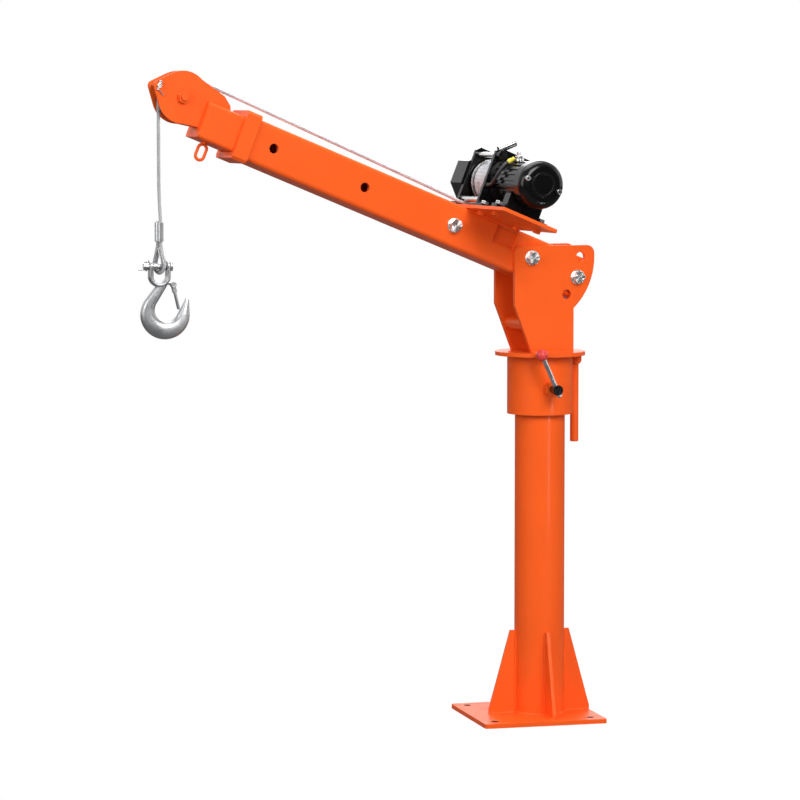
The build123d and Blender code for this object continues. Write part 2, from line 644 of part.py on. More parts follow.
def frame_outline():
    """A winch side frame in X and Z: a plate with a flat top, whose upper corners are cut off."""
    with BuildSketch() as outline:
        with BuildLine():
            Polyline(
                (FRAME_REAR, DECK),
                (FRAME_FRONT, DECK),
                (FRAME_FRONT, FRAME_TOP - FRAME_FRONT_CUT),
                (FRAME_FRONT - FRAME_FRONT_CUT, FRAME_TOP),
                (FRAME_REAR + FRAME_REAR_CUT, FRAME_TOP),
                (FRAME_REAR, FRAME_TOP - FRAME_REAR_CUT),
                close=True,
            )
        make_face()
    return outline.sketch


def tie_bar_places():
    """The X and Z of the three bars that join the winch's side frames. The first one guides the rope."""
    return [(GUIDE_BAR_X, GUIDE_BAR_Z), (TOP_BAR_X, TOP_BAR_Z), (REAR_BAR_X, GUIDE_BAR_Z)]


def lead_points():
    """The front motor lead's route, from its gland on the near frame over the motor's case to its post."""
    points = []
    for angle, along in LEAD_ROUTE:
        turn = math.radians(angle)
        points.append((
            WINCH_X + LEAD_CENTRE_R * math.cos(turn),
            FRAME_OUTER + GLAND + along,
            WINCH_Z + LEAD_CENTRE_R * math.sin(turn),
        ))
    return points


def rear_lead_points():
    """The same route on the other side of the motor."""
    return [(2 * WINCH_X - x, y, z) for x, y, z in lead_points()]


def winch_frame_parts():
    """The deck plate on the boom, the two side frames, and the bars and bolts that hold them."""
    deck_y = (WINCH_PLATE_NEAR - WINCH_PLATE_FAR) / 2
    deck_width = WINCH_PLATE_NEAR + WINCH_PLATE_FAR
    deck_length = WINCH_PLATE_END - WINCH_PLATE_START
    deck_x = (WINCH_PLATE_START + WINCH_PLATE_END) / 2
    deck = Pos(deck_x, deck_y, BOOM_HALF) * extrude(
        RectangleRounded(deck_length, deck_width, WINCH_PLATE_CORNER), amount=WINCH_PLATE_THICK
    )
    frame = plate_y(frame_outline(), FRAME_INSIDE / 2, FRAME_OUTER)
    frame += box_between(
        FRAME_REAR, FRAME_FRONT, FRAME_OUTER, FRAME_OUTER + FRAME_FOOT, DECK, DECK + FRAME_FOOT_THICK
    )
    frame -= rod_y(JOURNAL_R + RUNNING_CLEARANCE, 0, 2 * FRAME_OUTER, WINCH_X, WINCH_Z)
    far_frame = mirrored(frame)
    frame -= rod_y(CLUTCH_PIN_R + RUNNING_CLEARANCE, 0, 2 * FRAME_OUTER, TOP_BAR_X, TOP_BAR_Z)
    for x, _, z in (lead_points()[0], rear_lead_points()[0]):
        frame += rod_y(GLAND_R, FRAME_OUTER, FRAME_OUTER + GLAND, x, z)
    bars = [rod_y(TIE_BAR_R, -FRAME_INSIDE / 2, FRAME_INSIDE / 2, x, z) for x, z in tie_bar_places()]
    bolts = []
    foot_y = FRAME_OUTER + FRAME_FOOT / 2
    edges = (FRAME_REAR + FOOT_BOLT_EDGE, FRAME_FRONT - FOOT_BOLT_EDGE)
    spots = [(x, y, DECK + FRAME_FOOT_THICK) for x in edges for y in (foot_y, -foot_y)]
    flange_at = MOTOR_FOOT_WIDTH / 2 + FOOT_FLANGE / 2
    spots += [(WINCH_X + side * flange_at, MOTOR_FOOT_AT, DECK + FRAME_FOOT_THICK) for side in (-1, 1)]
    for x, y, seat in spots:
        hole = rod_z(FOOT_BOLT_R, BOOM_HALF - OVERCUT, seat + OVERCUT, x, y)
        deck -= hole
        frame -= hole
        far_frame -= hole
        bolt = rod_z(FOOT_BOLT_R, BOOM_HALF - FOOT_BOLT_HEAD, seat, x, y)
        bolt += hex_z(FOOT_BOLT_FLATS, seat, seat + FOOT_BOLT_HEAD, x, y)
        bolt += hex_z(FOOT_BOLT_FLATS, BOOM_HALF - FOOT_BOLT_HEAD, BOOM_HALF, x, y)
        bolts.append(bolt)
    return {
        "winch_plate": [deck],
        "winch_frame_near": [frame],
        "winch_frame_far": [far_frame],
        "tie_bars": bars,
        "winch_bolts": bolts,
    }


def post_axis(side):
    """The place of a terminal post: radial on the motor's top, leaning to one side."""
    return Pos(WINCH_X, POST_AT, WINCH_Z) * Rot(0, side * POST_SPREAD, 0)


def motor_parts():
    """The ribbed motor case, its end cap with two screws, its foot, the terminal posts and their leads."""
    case = rod_y(MOTOR_R, FRAME_OUTER, MOTOR_END, WINCH_X, WINCH_Z)
    case += rod_y(MOTOR_FLANGE_R, FRAME_OUTER, FRAME_OUTER + MOTOR_FLANGE, WINCH_X, WINCH_Z)
    rib_start = FRAME_OUTER + MOTOR_FLANGE
    rib = box_between(
        -MOTOR_RIB_WIDTH / 2, MOTOR_RIB_WIDTH / 2, rib_start, MOTOR_END,
        MOTOR_R - MOTOR_RIB_ROOT, MOTOR_R + MOTOR_RIB_HEIGHT,
    )
    pitch = 360 / MOTOR_RIB_COUNT
    ribs = [Pos(WINCH_X, 0, WINCH_Z) * Rot(0, pitch * count, 0) * rib for count in range(MOTOR_RIB_COUNT)]
    case = case.fuse(*ribs)
    cap_end = MOTOR_END + CAP_LENGTH
    cap = rod_y(CAP_R, MOTOR_END, cap_end, WINCH_X, WINCH_Z)
    cap = fillet(cap.edges().sort_by(Axis.Y)[-1], CAP_ROUND)
    ring_inner = CAP_RING_R - CAP_RING_WIDTH
    cap += tube_y(CAP_RING_R, ring_inner, cap_end, cap_end + CAP_RING_HEIGHT, WINCH_X, WINCH_Z)
    screws = []
    for side in (-1, 1):
        screw_x = WINCH_X + side * CAP_SCREW_AT
        seat = cap_end - CAP_SCREW_SINK
        screws.append(rod_y(CAP_SCREW_R, seat, seat + CAP_SCREW_SINK + CAP_SCREW_HEAD, screw_x, WINCH_Z))
        cap -= rod_y(CAP_SCREW_R, seat, cap_end + OVERCUT, screw_x, WINCH_Z)
    foot_start = MOTOR_FOOT_AT - MOTOR_FOOT_DEPTH / 2
    foot_end = MOTOR_FOOT_AT + MOTOR_FOOT_DEPTH / 2
    foot_half = MOTOR_FOOT_WIDTH / 2
    foot = box_between(
        WINCH_X - foot_half, WINCH_X + foot_half, foot_start, foot_end, DECK, DECK + MOTOR_FOOT_HEIGHT
    )
    flange_half = foot_half + FOOT_FLANGE
    foot += box_between(
        WINCH_X - flange_half, WINCH_X + flange_half, foot_start, foot_end, DECK, DECK + FRAME_FOOT_THICK
    )
    foot -= rod_y(RIB_TIP_R, foot_start - OVERCUT, foot_end + OVERCUT, WINCH_X, WINCH_Z)
    for side in (-1, 1):
        foot -= rod_z(
            FOOT_BOLT_R, DECK - OVERCUT, DECK + 2 * FRAME_FOOT_THICK,
            WINCH_X + side * (foot_half + FOOT_FLANGE / 2), MOTOR_FOOT_AT,
        )
    posts = []
    seat = RIB_TIP_R
    for side in (-1, 1):
        post = rod_z(POST_BASE_R, seat, seat + POST_BASE)
        post += hex_z(POST_NUT_FLATS, seat + POST_BASE, seat + POST_BASE + POST_NUT)
        post += rod_z(POST_STUD_R, seat + POST_BASE + POST_NUT, seat + POST_BASE + POST_NUT + POST_STUD)
        posts.append(post_axis(side) * post)
    return {
        "motor_case": [case],
        "motor_end_cap": [cap],
        "motor_cap_screws": screws,
        "motor_foot": [foot],
        "terminal_posts": posts,
        "motor_leads": [
            cord_tube(lead_points(), LEAD_R, "front lead"),
            cord_tube(rear_lead_points(), LEAD_R, "rear lead"),
        ],
    }


def cord_tube(points, radius, title):
    """A round tube along straight runs joined by tangent arcs, each as large as its runs allow."""
    vectors = [Vector(*point) for point in points]
    radii = []
    for before, here, after in zip(vectors, vectors[1:], vectors[2:]):
        turn = math.radians((here - before).get_angle(after - here))
        shorter = min((here - before).length, (after - here).length)
        radii.append(0.45 * shorter / math.tan(turn / 2))
    print(title, "arc radii", [round(value, 1) for value in radii])
    return tube_along(FilletPolyline(*points, radius=radii), radius)


def gear_parts():
    """The eight-sided gear housing on the far side, its bevelled end and its round cover."""
    start = -FRAME_OUTER
    end = -FRAME_OUTER - GEAR_LENGTH
    octagon = Pos(WINCH_X, WINCH_Z) * Rot(0, 0, 22.5) * RegularPolygon(GEAR_FLATS / 2, 8, major_radius=False)
    housing = plate_y(octagon, end, start)
    housing = chamfer(housing.faces().sort_by(Axis.Y)[0].edges(), GEAR_BEVEL)
    cover = rod_y(COVER_R, end - COVER_THICK, end, WINCH_X, WINCH_Z)
    cover = fillet(cover.edges().sort_by(Axis.Y)[0], COVER_ROUND)
    return {"gear_housing": [housing], "gear_cover": [cover]}


def drum_part():
    """The rope drum: a spool on two journals that turn in the side frames."""
    half = DRUM_INSIDE / 2
    flange_end = half + DRUM_FLANGE_THICK
    drum = rod_y(DRUM_CORE_R, -half, half, WINCH_X, WINCH_Z)
    for start in (-flange_end, half):
        drum += rod_y(DRUM_FLANGE_R, start, start + DRUM_FLANGE_THICK, WINCH_X, WINCH_Z)
    return drum + rod_y(JOURNAL_R, -FRAME_OUTER, FRAME_OUTER, WINCH_X, WINCH_Z)


def tangent_below(first, first_r, second, second_r):
    """The two touch points of a line that runs below two circles given by centre and radius."""
    across = math.hypot(second[0] - first[0], second[1] - first[1])
    angle = math.atan2(second[1] - first[1], second[0] - first[0])
    angle += math.asin((first_r - second_r) / across)
    normal = (-math.sin(angle), math.cos(angle))
    touch = [(c[0] - r * normal[0], c[1] - r * normal[1]) for c, r in ((first, first_r), (second, second_r))]
    return touch[0], touch[1], angle


WIND_HALF = WIND_PITCH * WIND_TURNS / 2
GUIDE_R = TIE_BAR_R + ROPE_R + SEAT_GAP
DRUM_TOUCH, _, DRUM_ANGLE = tangent_below(
    (WINCH_X, WINCH_Z), WIND_PITCH_R, (GUIDE_BAR_X, GUIDE_BAR_Z), GUIDE_R
)
_, RUN_END, RUN_ANGLE = tangent_below(
    (GUIDE_BAR_X, GUIDE_BAR_Z), GUIDE_R, (SHEAVE_X, SHEAVE_Z), -SHEAVE_PITCH_R
)


def wind_place(turns):
    """A point of the winding's centre line, counted in turns from its start."""
    angle = DRUM_ANGLE - math.pi / 2 + 2 * math.pi * (turns - WIND_TURNS)
    return Vector(
        WINCH_X + WIND_PITCH_R * math.cos(angle),
        WIND_HALF - WIND_PITCH * turns,
        WINCH_Z + WIND_PITCH_R * math.sin(angle),
    )


def wind_heading(turns):
    """The winding's direction at that point."""
    angle = DRUM_ANGLE - math.pi / 2 + 2 * math.pi * (turns - WIND_TURNS)
    climb = WIND_PITCH / (2 * math.pi)
    return Vector(-WIND_PITCH_R * math.sin(angle), -climb, WIND_PITCH_R * math.cos(angle)).normalized()


def biarc(start, start_way, end, end_way):
    """Two arcs that leave one point and reach another along given directions."""
    chord = end - start
    along = chord.dot(start_way + end_way)
    spread = 2 * (1 - start_way.dot(end_way))
    reach = (math.sqrt(along**2 + spread * chord.dot(chord)) - along) / spread
    before = start + start_way * reach
    after = end - end_way * reach
    middle = (before + after) * 0.5
    return [
        TangentArc(start, middle, tangent=start_way),
        TangentArc(middle, end, tangent=(after - before).normalized()),
    ]


def tube_along(path, radius):
    """A round tube along a path."""
    return sweep(Plane(origin=path @ 0, z_dir=path % 0) * Circle(radius), path=path)


def winding_part():
    """The drum's outer layer of rope: half-turn biarcs of a helix, with straight ends."""
    stub = 2 * ROPE_R
    edges = [Line(wind_place(0) - wind_heading(0) * stub, wind_place(0))]
    for count in range(int(2 * WIND_TURNS)):
        here = count / 2
        there = here + 0.5
        edges += biarc(wind_place(here), wind_heading(here), wind_place(there), wind_heading(there))
    edges.append(Line(wind_place(WIND_TURNS), wind_place(WIND_TURNS) + wind_heading(WIND_TURNS) * stub))
    per_turn = 36
    points = [wind_place(count / per_turn) for count in range(int(WIND_TURNS * per_turn) + 1)]
    half = per_turn // 2
    apart = [(a - b).length for i, a in enumerate(points) for b in points[i + half:]]
    print("winding least gap to itself", round(min(apart) - 2 * ROPE_R, 2))
    return tube_along(Wire(edges), ROPE_R)


def rope_run_part():
    """The tight rope from the drum, round the guide bar's underside, to the top of the sheave."""
    middle = (DRUM_ANGLE + RUN_ANGLE) / 2
    reach = GUIDE_R / math.cos((RUN_ANGLE - DRUM_ANGLE) / 2)
    start = Vector(
        DRUM_TOUCH[0] + RUN_SETBACK * math.cos(DRUM_ANGLE), -WIND_HALF,
        DRUM_TOUCH[1] + RUN_SETBACK * math.sin(DRUM_ANGLE),
    )
    corner = Vector(
        GUIDE_BAR_X + reach * math.sin(middle), -WIND_HALF, GUIDE_BAR_Z - reach * math.cos(middle)
    )
    sheave_top = Vector(RUN_END[0], 0, RUN_END[1])
    end = sheave_top - (sheave_top - corner).normalized() * SEAT_GAP
    print("rope run arc radius", round(GUIDE_R, 1))
    return tube_along(FilletPolyline(start, corner, end, radius=GUIDE_R), ROPE_R)


def drum_parts():
    """The drum and the rope on it."""
    return {"drum": [drum_part()], "rope_winding": [winding_part()]}


def clutch_parts():
    """The clutch lever on the near frame: a hub on a stub shaft, with a round grip across its top."""
    start = FRAME_OUTER + SEAT_GAP
    end = start + CLUTCH_HUB
    lever = rod_y(CLUTCH_HUB_R, start, end)
    lever += rod_y(CLUTCH_PIN_R, FRAME_INSIDE / 2 + SEAT_GAP, start)
    grip = rod_x(CLUTCH_GRIP_R, -CLUTCH_GRIP_BACK, CLUTCH_GRIP, 0, -CLUTCH_GRIP_OFFSET)
    grip = fillet(grip.edges().sort_by(Axis.X)[-1], CLUTCH_GRIP_ROUND)
    lever += Pos(0, (start + end) / 2, 0) * Rot(0, CLUTCH_GRIP_RISE - 180, 0) * grip
    return {"clutch_lever": [Pos(TOP_BAR_X, 0, TOP_BAR_Z) * lever]}


def cheek_outline():
    """A sheave cheek in X and Z: round the sheave, out to the keeper pin, and back over the extension."""
    wheel = Pos(SHEAVE_X, SHEAVE_Z) * Circle(CHEEK_R)
    nose = Pos(KEEPER_X, KEEPER_Z) * Circle(CHEEK_NOSE_R)
    root = Polyline(
        (EXTENSION_REACH, EXTENSION_HALF),
        (CHEEK_BACK, EXTENSION_HALF),
        (CHEEK_BACK + CHEEK_HEEL / 2, EXTENSION_HALF + CHEEK_HEEL),
        (CHEEK_SHOULDER_X, CHEEK_SHOULDER_Z),
        (SHEAVE_X, SHEAVE_Z + CHEEK_R),
        (SHEAVE_X, SHEAVE_Z - CHEEK_R),
        (EXTENSION_REACH, CHEEK_FOOT_Z),
        close=True,
    )
    outline = make_hull(wheel.edges() + nose.edges()) + make_face(root)
    tube_end = Pos((CHEEK_BACK + EXTENSION_REACH) / 2, 0) * Rectangle(
        EXTENSION_REACH - CHEEK_BACK, EXTENSION_SIDE
    )
    return outline - tube_end


def extension_parts():
    """The sliding tube, its end plate, the cheeks with their bolts and keeper pin, and the stowing ring."""
    plate_start = EXTENSION_REACH - END_PLATE_THICK
    tube = square_tube(EXTENSION_SIDE, EXTENSION_WALL, EXTENSION_CORNER, EXTENSION_INNER_END, plate_start)
    for step in range(EXTENSION_HOLES):
        tube -= rod_y(LOCK_HOLE_R, -BOOM_SIDE, BOOM_SIDE, EXTENSION_LOCK_AT + step * EXTENSION_STEP)
    end_plate = square_section(EXTENSION_SIDE, EXTENSION_CORNER, plate_start, EXTENSION_REACH)
    cheek = plate_y(cheek_outline(), CHEEK_INSIDE / 2, CHEEK_OUTER)
    cheek -= rod_y(SHEAVE_BOLT_R, 0, 2 * CHEEK_OUTER, SHEAVE_X, SHEAVE_Z)
    cheek -= rod_y(KEEPER_R, 0, 2 * CHEEK_OUTER, KEEPER_X, KEEPER_Z)
    bolt_end = CHEEK_OUTER + SHEAVE_BOLT_HEAD + BOLT_TAIL
    bolt = rod_y(SHEAVE_BOLT_R, -bolt_end, CHEEK_OUTER, SHEAVE_X, SHEAVE_Z)
    bolt += hex_y(SHEAVE_BOLT_FLATS, CHEEK_OUTER, CHEEK_OUTER + SHEAVE_BOLT_HEAD, SHEAVE_X, SHEAVE_Z)
    nut = hex_y(SHEAVE_BOLT_FLATS, -CHEEK_OUTER - SHEAVE_BOLT_HEAD, -CHEEK_OUTER, SHEAVE_X, SHEAVE_Z)
    nut -= rod_y(SHEAVE_BOLT_R, -bolt_end, 0, SHEAVE_X, SHEAVE_Z)
    keeper_end = CHEEK_OUTER + KEEPER_OVERHANG
    keeper = rod_y(KEEPER_R, -CHEEK_OUTER, keeper_end, KEEPER_X, KEEPER_Z)
    keeper += rod_y(KEEPER_HEAD_R, -CHEEK_OUTER - KEEPER_HEAD, -CHEEK_OUTER, KEEPER_X, KEEPER_Z)
    split_y = CHEEK_OUTER + KEEPER_OVERHANG / 2
    split_half = SPLIT_PIN_LENGTH / 2
    split = rod_z(SPLIT_PIN_R, KEEPER_Z - split_half, KEEPER_Z + split_half, KEEPER_X, split_y)
    ring_z = -EXTENSION_HALF - RING_STEM - RING_DROP / 2
    ring_path = (Plane.XZ * Pos(RING_X, ring_z) * Rot(0, 0, 90) * SlotOverall(RING_DROP, RING_WIDTH)).wire()
    ring = tube_along(ring_path, RING_WIRE_R)
    ring += rod_z(RING_STEM_R, -EXTENSION_HALF - RING_STEM, -EXTENSION_HALF, RING_X)
    return {
        "extension_tube": [tube],
        "extension_end_plate": [end_plate],
        "sheave_cheek_near": [cheek],
        "sheave_cheek_far": [mirrored(cheek)],
        "sheave_bolt": [mirrored(bolt)],
        "sheave_nut": [mirrored(nut)],
        "keeper_pin": [keeper - split, split],
        "stow_ring": [ring],
        "rope_over_sheave": [rope_over_part()],
    }


def sheave_point(angle):
    """A point of the rope's centre line on the sheave, by its angle from the boom's direction in radians."""
    return Vector(
        SHEAVE_X + SHEAVE_PITCH_R * math.cos(angle), 0, SHEAVE_Z + SHEAVE_PITCH_R * math.sin(angle)
    )


def rope_over_part():
    """The rope's stretch over the sheave, from the run's end to the top of the fall."""
    first = RUN_ANGLE + math.pi / 2
    last = -math.radians(LUFF_REST)
    print("rope over the sheave arc radius", SHEAVE_PITCH_R)
    arc = ThreePointArc(sheave_point(first), sheave_point((first + last) / 2), sheave_point(last))
    return tube_along(arc, ROPE_R)


def sheave_parts():
    """The grooved wheel at the tip, turned from one piece."""
    bore = SHEAVE_BOLT_R + RUNNING_CLEARANCE
    hub = CHEEK_INSIDE / 2 - GROOVE_CLEARANCE
    web = SHEAVE_WEB / 2
    rim = SHEAVE_WIDTH / 2
    groove_r = ROPE_R + GROOVE_CLEARANCE
    rim_inside = SHEAVE_PITCH_R - groove_r - SHEAVE_RIM_DEPTH
    mouth = rim - SHEAVE_LIP
    lower = [
        (SHEAVE_PITCH_R, -groove_r),
        (SHEAVE_RIM_R, -mouth),
        (SHEAVE_RIM_R, -rim),
        (rim_inside, -rim),
        (rim_inside, -web),
        (SHEAVE_HUB_R, -web),
        (SHEAVE_HUB_R, -hub),
        (bore, -hub),
    ]
    upper = [(radius, -y) for radius, y in reversed(lower)]
    with BuildSketch() as profile:
        with BuildLine():
            Polyline(*lower, *upper)
            ThreePointArc(upper[-1], (SHEAVE_PITCH_R - groove_r, 0), lower[0])
        make_face()
    wheel = revolve(profile.sketch, Axis.Y)
    return {"sheave": [Pos(SHEAVE_X, 0, SHEAVE_Z) * wheel]}


def touch_point(centre, radius, point, side):
    """Where a line from a point touches a circle, on the anticlockwise side for +1 and the other for -1."""
    dx = point[0] - centre[0]
    dz = point[1] - centre[1]
    angle = math.atan2(dz, dx) + side * math.acos(radius / math.hypot(dx, dz))
    return (centre[0] + radius * math.cos(angle), centre[1] + radius * math.sin(angle))


def eye_parts():
    """The pressed double-barrel ferrule, the rope eye below it and the thimble in the eye."""
    ferrule_end = FERRULE_TOP - FERRULE_LENGTH
    barrels = [Pos(0, side * STRAND_OFFSET) * Circle(FERRULE_R) for side in (-1, 1)]
    ferrule = Pos(0, 0, ferrule_end) * extrude(barrels[0] + barrels[1], amount=FERRULE_LENGTH)
    eye_z = PIN_Z - CLEVIS_PIN_R - PIN_SEAT_GAP + EYE_R
    thimble_r = EYE_R + THIMBLE_WALL
    top_z = ferrule_end - THIMBLE_TOP_GAP
    inner = (Pos(0, eye_z) * Circle(EYE_R)).edges() + (Pos(0, top_z) * Circle(THIMBLE_POINT_R)).edges()
    outer = (Pos(0, eye_z) * Circle(thimble_r)).edges()
    outer += (Pos(0, top_z) * Circle(THIMBLE_POINT_R + THIMBLE_WALL)).edges()
    band = make_hull(outer) - make_hull(inner)
    thimble = extrude(Plane.YZ.offset(-THIMBLE_WIDTH / 2) * band, amount=THIMBLE_WIDTH)
    loop_r = thimble_r + ROPE_R + SEAT_GAP
    bend = (STRAND_OFFSET, ferrule_end - EYE_STRAIGHT)
    touch = touch_point((0, eye_z), loop_r, bend, -1)
    near_side = [Vector(0, STRAND_OFFSET, ferrule_end), Vector(0, *bend), Vector(0, *touch)]
    far_side = [Vector(0, -point.Y, point.Z) for point in reversed(near_side)]
    down = FilletPolyline(*near_side, radius=EYE_BEND_R)
    around = ThreePointArc(near_side[-1], Vector(0, 0, eye_z - loop_r), far_side[0])
    up = FilletPolyline(*far_side, radius=EYE_BEND_R)
    print("rope eye arc radii", EYE_BEND_R, round(loop_r, 1), EYE_BEND_R)
    eye = tube_along(Wire(down.edges() + around.edges() + up.edges()), ROPE_R)
    made = {"rope_ferrule": ferrule, "rope_eye": eye, "thimble": thimble}
    return {name: [Rot(0, 0, FERRULE_TURN) * solid] for name, solid in made.items()}


def hook_outline():
    """The hook below its clevis in X and Z: two circles joined by tangents to the neck and to the tip."""
    bowl = (BOWL_X, PIN_Z - BOWL_DROP)
    throat = (THROAT_X, PIN_Z - THROAT_DROP)
    neck_z = PIN_Z - NECK_DROP
    neck_left = (NECK_X - NECK_WIDTH / 2, neck_z)
    neck_right = (NECK_X + NECK_WIDTH / 2, neck_z)
    tip_z = PIN_Z - TIP_DROP
    tip_outer = (TIP_X + TIP_WIDTH / 2, tip_z)
    tip_inner = (TIP_X - TIP_WIDTH / 2, tip_z)
    bowl_left = touch_point(bowl, BOWL_R, neck_left, 1)
    bowl_right = touch_point(bowl, BOWL_R, tip_outer, -1)
    throat_left = touch_point(throat, THROAT_R, neck_right, 1)
    throat_right = touch_point(throat, THROAT_R, tip_inner, -1)
    with BuildSketch() as outline:
        with BuildLine():
            Polyline(bowl_left, neck_left, neck_right, throat_left)
            ThreePointArc(throat_left, (throat[0], throat[1] - THROAT_R), throat_right)
            Line(throat_right, tip_inner)
            ThreePointArc(tip_inner, (TIP_X, tip_z + TIP_WIDTH / 2), tip_outer)
            Line(tip_outer, bowl_right)
            ThreePointArc(bowl_right, (bowl[0], bowl[1] - BOWL_R), bowl_left)
        make_face()
    return outline.sketch


def clevis_part():
    """The fork at the hook's top: a bent U whose ears are rounded about the pin."""
    inside = CLEVIS_GAP / 2
    outside = inside + CLEVIS_EAR
    bend_z = PIN_Z - CLEVIS_BEND_DROP
    top = PIN_Z + CLEVIS_EAR_R
    limbs = Pos(0, (top + bend_z) / 2) * Rectangle(2 * outside, top - bend_z)
    opening = Pos(0, (top + bend_z) / 2) * Rectangle(2 * inside, top - bend_z)
    profile = limbs + Pos(0, bend_z) * Circle(outside) - opening - Pos(0, bend_z) * Circle(inside)
    fork = plate_y(profile, -CLEVIS_EAR_R, CLEVIS_EAR_R)
    lowest = bend_z - outside
    side = Pos(0, PIN_Z) * Circle(CLEVIS_EAR_R)
    side += Pos(0, (PIN_Z + lowest) / 2) * Rectangle(2 * CLEVIS_EAR_R, PIN_Z - lowest)
    fork &= extrude(Plane.YZ.offset(-outside) * side, amount=2 * outside)
    return fork - rod_x(CLEVIS_PIN_R, -2 * outside, 2 * outside, 0, PIN_Z)


def hook_parts():
    """The forged hook with its clevis and latch lug, and its clevis pin, split pin and latch pin."""
    half = HOOK_THICK / 2
    hook = plate_y(hook_outline(), -half, half)
    rims = hook.faces().sort_by(Axis.Y)
    hook = fillet(rims[0].edges() + rims[-1].edges(), HOOK_ROUND)
    hook += clevis_part()
    latch_z = PIN_Z - LATCH_DROP
    lug_half = LATCH_LUG_WIDTH / 2
    lug = rod_y(LATCH_BOSS_R, -lug_half, lug_half, LATCH_X, latch_z)
    lug += box_between(NECK_X, LATCH_X, -lug_half, lug_half, latch_z, latch_z + LATCH_BOSS_R)
    hook += lug - rod_y(CLEVIS_GAP / 2, -HOOK_THICK, HOOK_THICK, 0, PIN_Z - CLEVIS_BEND_DROP)
    hook -= rod_y(LATCH_PIN_R, -HOOK_THICK, HOOK_THICK, LATCH_X, latch_z)
    outside = CLEVIS_GAP / 2 + CLEVIS_EAR
    pin = rod_x(CLEVIS_PIN_R, -outside - CLEVIS_PIN_TAIL, outside, 0, PIN_Z)
    pin += rod_x(CLEVIS_PIN_HEAD_R, outside, outside + CLEVIS_PIN_HEAD, 0, PIN_Z)
    split_x = -outside - CLEVIS_PIN_TAIL / 2
    split = rod_z(SPLIT_PIN_R, PIN_Z - SPLIT_PIN_LENGTH / 2, PIN_Z + SPLIT_PIN_LENGTH / 2, split_x)
    fork_end = lug_half + LATCH_SIDE_GAP + LATCH_FORK_THICK
    latch_pin = rod_y(LATCH_PIN_R, -fork_end, fork_end, LATCH_X, latch_z)
    return {"hook": [hook], "hook_pins": [pin - split, split, latch_pin]}


def latch_parts():
    """The spring latch: a blade across the hook's throat, forked over the lug that it turns on."""
    inside = LATCH_LUG_WIDTH / 2 + LATCH_SIDE_GAP
    outside = inside + LATCH_FORK_THICK
    blade = box_between(-LATCH_THICK / 2, LATCH_THICK / 2, -outside, outside, -LATCH_LENGTH, -LATCH_FORK)
    blade += rod_y(LATCH_BOSS_R, -outside, outside)
    blade += box_between(-LATCH_THICK, LATCH_THICK, -outside, outside, -LATCH_FORK, 0)
    slot_half = 2 * LATCH_BOSS_R
    blade -= box_between(-slot_half, slot_half, -inside, inside, LATCH_THICK - LATCH_FORK, LATCH_FORK)
    blade -= rod_y(LATCH_PIN_R + RUNNING_CLEARANCE, -HOOK_THICK, HOOK_THICK)
    return {"hook_latch": [Pos(LATCH_X, 0, PIN_Z - LATCH_DROP) * Rot(0, -LATCH_LEAN, 0) * blade]}


def fall_parts():
    """The rope's straight fall from the sheave to the ferrule."""
    return {"rope_fall": [rod_z(ROPE_R, FERRULE_TOP, -SEAT_GAP)]}


def main():
    """Builds every piece in its own frame, and writes each one where it belongs on the crane."""
    os.makedirs("parts", exist_ok=True)
    groups = [
        (Location(), base_parts()),
        (HEAD, head_parts()),
        (HEAD, clamp_parts()),
        (HEAD, handle_parts()),
        (BOOM, boom_parts()),
        (BOOM, winch_frame_parts()),
        (BOOM, motor_parts()),
        (BOOM, gear_parts()),
        (BOOM, {"rope_run": [rope_run_part()]}),
        (BOOM, drum_parts()),
        (BOOM, clutch_parts()),
        (BOOM, extension_parts()),
        (BOOM, sheave_parts()),
        (HOOK, fall_parts()),
        (HOOK, eye_parts()),
        (HOOK, hook_parts()),
        (HOOK, latch_parts()),
    ]
    for place, pieces in groups:
        for name, made in pieces.items():
            solids = [place * solid for shape in made for solid in shape.solids()]
            piece = solids[0] if len(solids) == 1 else Compound(solids)
            export_step(piece, os.path.join("parts", name + ".step"))


main()
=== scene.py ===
# %% [markdown]
# # A pickup truck crane, dressed for a studio picture
#
# The crane's exact solids come ready in a frame: base, mast, slewing head, boom, extension, winch and
# hook. This lesson adds what plain solids leave out. It lays stranded wire rope where tubes mark its
# way, forges the hook, runs weld beads along the seams, cuts threads on the bolts, and gives each
# surface its own finish. Sizes are written in millimetres, and every piece ends up in metres on the
# frame's axes, where the solids say it goes.

import json
import math

import bpy
import numpy as np
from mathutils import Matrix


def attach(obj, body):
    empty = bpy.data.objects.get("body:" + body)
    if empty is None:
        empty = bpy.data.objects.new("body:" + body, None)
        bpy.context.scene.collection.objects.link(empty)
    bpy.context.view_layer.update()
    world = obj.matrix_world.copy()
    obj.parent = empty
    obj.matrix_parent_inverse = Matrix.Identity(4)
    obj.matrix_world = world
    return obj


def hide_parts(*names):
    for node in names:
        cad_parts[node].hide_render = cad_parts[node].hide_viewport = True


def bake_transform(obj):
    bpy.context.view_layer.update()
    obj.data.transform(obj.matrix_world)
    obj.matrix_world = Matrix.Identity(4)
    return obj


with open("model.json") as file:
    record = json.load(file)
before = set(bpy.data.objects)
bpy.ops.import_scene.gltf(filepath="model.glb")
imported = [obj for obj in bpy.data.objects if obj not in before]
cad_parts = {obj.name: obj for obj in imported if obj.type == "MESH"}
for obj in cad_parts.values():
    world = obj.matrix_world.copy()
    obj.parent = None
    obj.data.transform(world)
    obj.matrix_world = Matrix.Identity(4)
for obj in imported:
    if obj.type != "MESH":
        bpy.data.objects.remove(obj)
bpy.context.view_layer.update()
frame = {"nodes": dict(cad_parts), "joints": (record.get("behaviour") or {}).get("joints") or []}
NODES = frame["nodes"]
JOINTS = {joint["name"]: joint for joint in frame["joints"]}
MM = 0.001
print("solids to dress:", len(NODES), "moving joints:", len(JOINTS))

